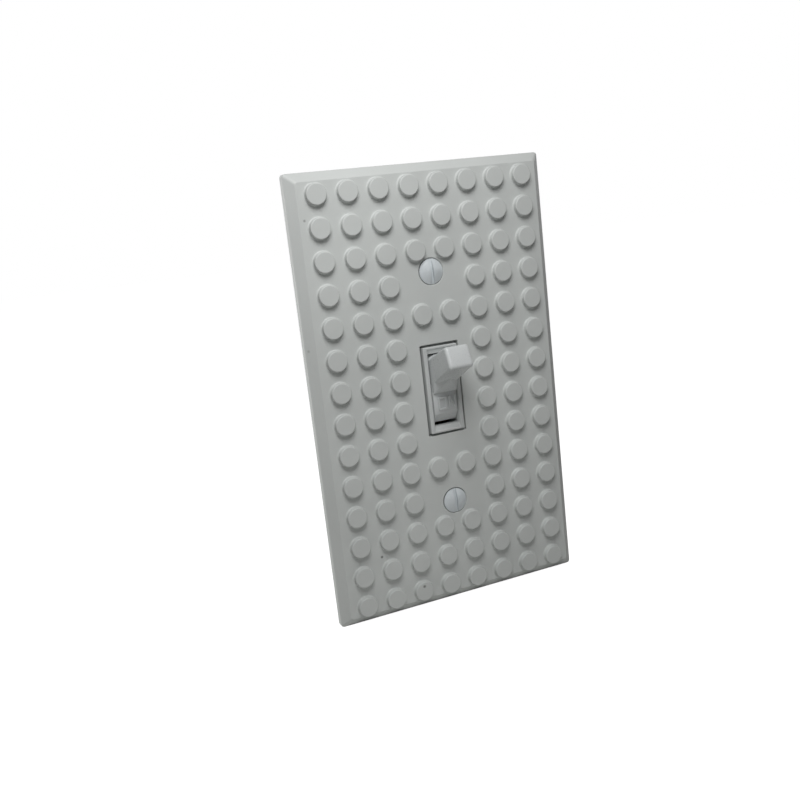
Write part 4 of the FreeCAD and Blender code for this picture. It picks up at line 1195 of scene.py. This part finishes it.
class SWITCHPLATE_OT_stage(bpy.types.Operator):
    """Sets the pale floor, the soft lights and the camera at the photograph's angle"""

    bl_idname = "switchplate.stage"
    bl_label = "Studio"

    def execute(self, context):
        context.scene.view_settings.view_transform = "Standard"
        studio = context.scene.studio
        self.add_world(context.scene, studio)
        self.add_floor(context.scene, studio)
        for lamp in ("key", "fill"):
            self.add_light(context.scene, studio, lamp)
        self.add_camera(context.scene, studio)
        return {"FINISHED"}

    def add_world(self, scene, studio):
        """Even room light, with a white background for the camera, reflections and glass."""
        world = bpy.data.worlds.new("studio")
        scene.world = world
        world.use_nodes = True
        tree = world.node_tree
        tree.nodes.clear()
        path = add(tree, "ShaderNodeLightPath").outputs
        seen = add(tree, "ShaderNodeMath", {0: path["Is Camera Ray"], 1: path["Is Glossy Ray"]},
                   operation="MAXIMUM")
        seen = add(tree, "ShaderNodeMath", {0: seen.outputs[0], 1: path["Is Transmission Ray"]},
                   operation="MAXIMUM")
        room = add(tree, "ShaderNodeBackground", {"Color": (1, 1, 1, 1), "Strength": studio.room_light})
        white = add(tree, "ShaderNodeBackground", {"Color": (1, 1, 1, 1), "Strength": studio.background})
        mix = add(tree, "ShaderNodeMixShader", {0: seen.outputs[0], 1: room.outputs[0], 2: white.outputs[0]})
        add(tree, "ShaderNodeOutputWorld", {"Surface": mix.outputs[0]})

    def add_floor(self, scene, studio):
        """A wide pale floor under the plate. It looks white, and keeps the plate's soft shadow."""
        bm = bmesh.new()
        bm.faces.new([bm.verts.new((x * FLOOR_REACH, y * FLOOR_REACH, PLATE_LOW.z))
                      for x, y in ((-1, -1), (1, -1), (1, 1), (-1, 1))])
        floor = as_object("floor", bm)
        material = bpy.data.materials.new("painted_floor")
        material.use_nodes = True
        tree = material.node_tree
        tree.nodes.clear()
        path = add(tree, "ShaderNodeLightPath").outputs
        paint = add(tree, "ShaderNodeBsdfDiffuse", {"Color": (*scene.finishes.floor, 1)})
        glow = add(tree, "ShaderNodeEmission", {"Strength": studio.floor_glow})
        lit = add(tree, "ShaderNodeAddShader", {0: paint.outputs[0], 1: glow.outputs[0]})
        mix = add(tree, "ShaderNodeMixShader", {
            0: path["Is Camera Ray"], 1: paint.outputs[0], 2: lit.outputs[0]})
        add(tree, "ShaderNodeOutputMaterial", {"Surface": mix.outputs[0]})
        floor.data.materials.append(material)

    def add_light(self, scene, studio, kind):
        """A square soft light that looks at a point."""
        light = bpy.data.lights.new(kind + "_light", "AREA")
        light.energy = getattr(studio, kind + "_power")
        light.size = getattr(studio, kind + "_size")
        lamp = bpy.data.objects.new(kind + "_light", light)
        lamp.location = getattr(studio, kind + "_place")
        ahead = Vector(getattr(studio, kind + "_target")) - lamp.location
        lamp.rotation_euler = ahead.to_track_quat("-Z", "Y").to_euler()
        scene.collection.objects.link(lamp)

    def add_camera(self, scene, studio):
        """The camera where the photograph was taken from."""
        back = CAMERA_RIGHT.cross(CAMERA_UP)
        camera = bpy.data.cameras.new("camera")
        camera.sensor_width = SENSOR_WIDTH
        camera.lens = studio.focal_length
        camera.clip_start = 0.01
        view = bpy.data.objects.new("camera", camera)
        turn = Matrix((CAMERA_RIGHT, CAMERA_UP, back)).transposed().to_4x4()
        view.matrix_world = Matrix.Translation(CAMERA_PLACE) @ turn
        scene.collection.objects.link(view)
        scene.camera = view


class SWITCHPLATE_PT_panel(bpy.types.Panel):
    """Lists the pieces of the switch plate and their sizes"""

    bl_label = "Switch plate"
    bl_space_type = "VIEW_3D"
    bl_region_type = "UI"
    bl_category = "Switch plate"

    def draw(self, context):
        for operator in OPERATORS:
            self.layout.operator(operator.bl_idname)
        for group in GROUPS:
            box = self.layout.box()
            box.label(text=group.replace("_", " ").capitalize())
            values = getattr(context.scene, group)
            for name in type(values).__annotations__:
                box.prop(values, name)


GROUPS = {"plate_sizes": PlateSizes, "collar_sizes": CollarSizes, "toggle_sizes": ToggleSizes,
          "screw_sizes": ScrewSizes, "finishes": Finishes, "studio": StudioSettings}
OPERATORS = (SWITCHPLATE_OT_plate, SWITCHPLATE_OT_collar, SWITCHPLATE_OT_toggle,
             SWITCHPLATE_OT_plate_screws, SWITCHPLATE_OT_box_screws, SWITCHPLATE_OT_carried_parts,
             SWITCHPLATE_OT_stage)


def register():
    """Registers the classes and hangs the property groups on the scene."""
    for name, group in GROUPS.items():
        bpy.utils.register_class(group)
        setattr(bpy.types.Scene, name, PointerProperty(type=group))
    for operator in OPERATORS:
        bpy.utils.register_class(operator)
    bpy.utils.register_class(SWITCHPLATE_PT_panel)


def unregister():
    """Takes away all that register adds."""
    bpy.utils.unregister_class(SWITCHPLATE_PT_panel)
    for operator in reversed(OPERATORS):
        bpy.utils.unregister_class(operator)
    for name, group in GROUPS.items():
        delattr(bpy.types.Scene, name)
        bpy.utils.unregister_class(group)


def main():
    """Builds every piece and the studio."""
    register()
    bpy.ops.switchplate.plate()
    bpy.ops.switchplate.collar()
    bpy.ops.switchplate.toggle()
    bpy.ops.switchplate.plate_screws()
    bpy.ops.switchplate.box_screws()
    bpy.ops.switchplate.carried_parts()
    bpy.ops.switchplate.stage()


if __name__ == "__main__":
    main()
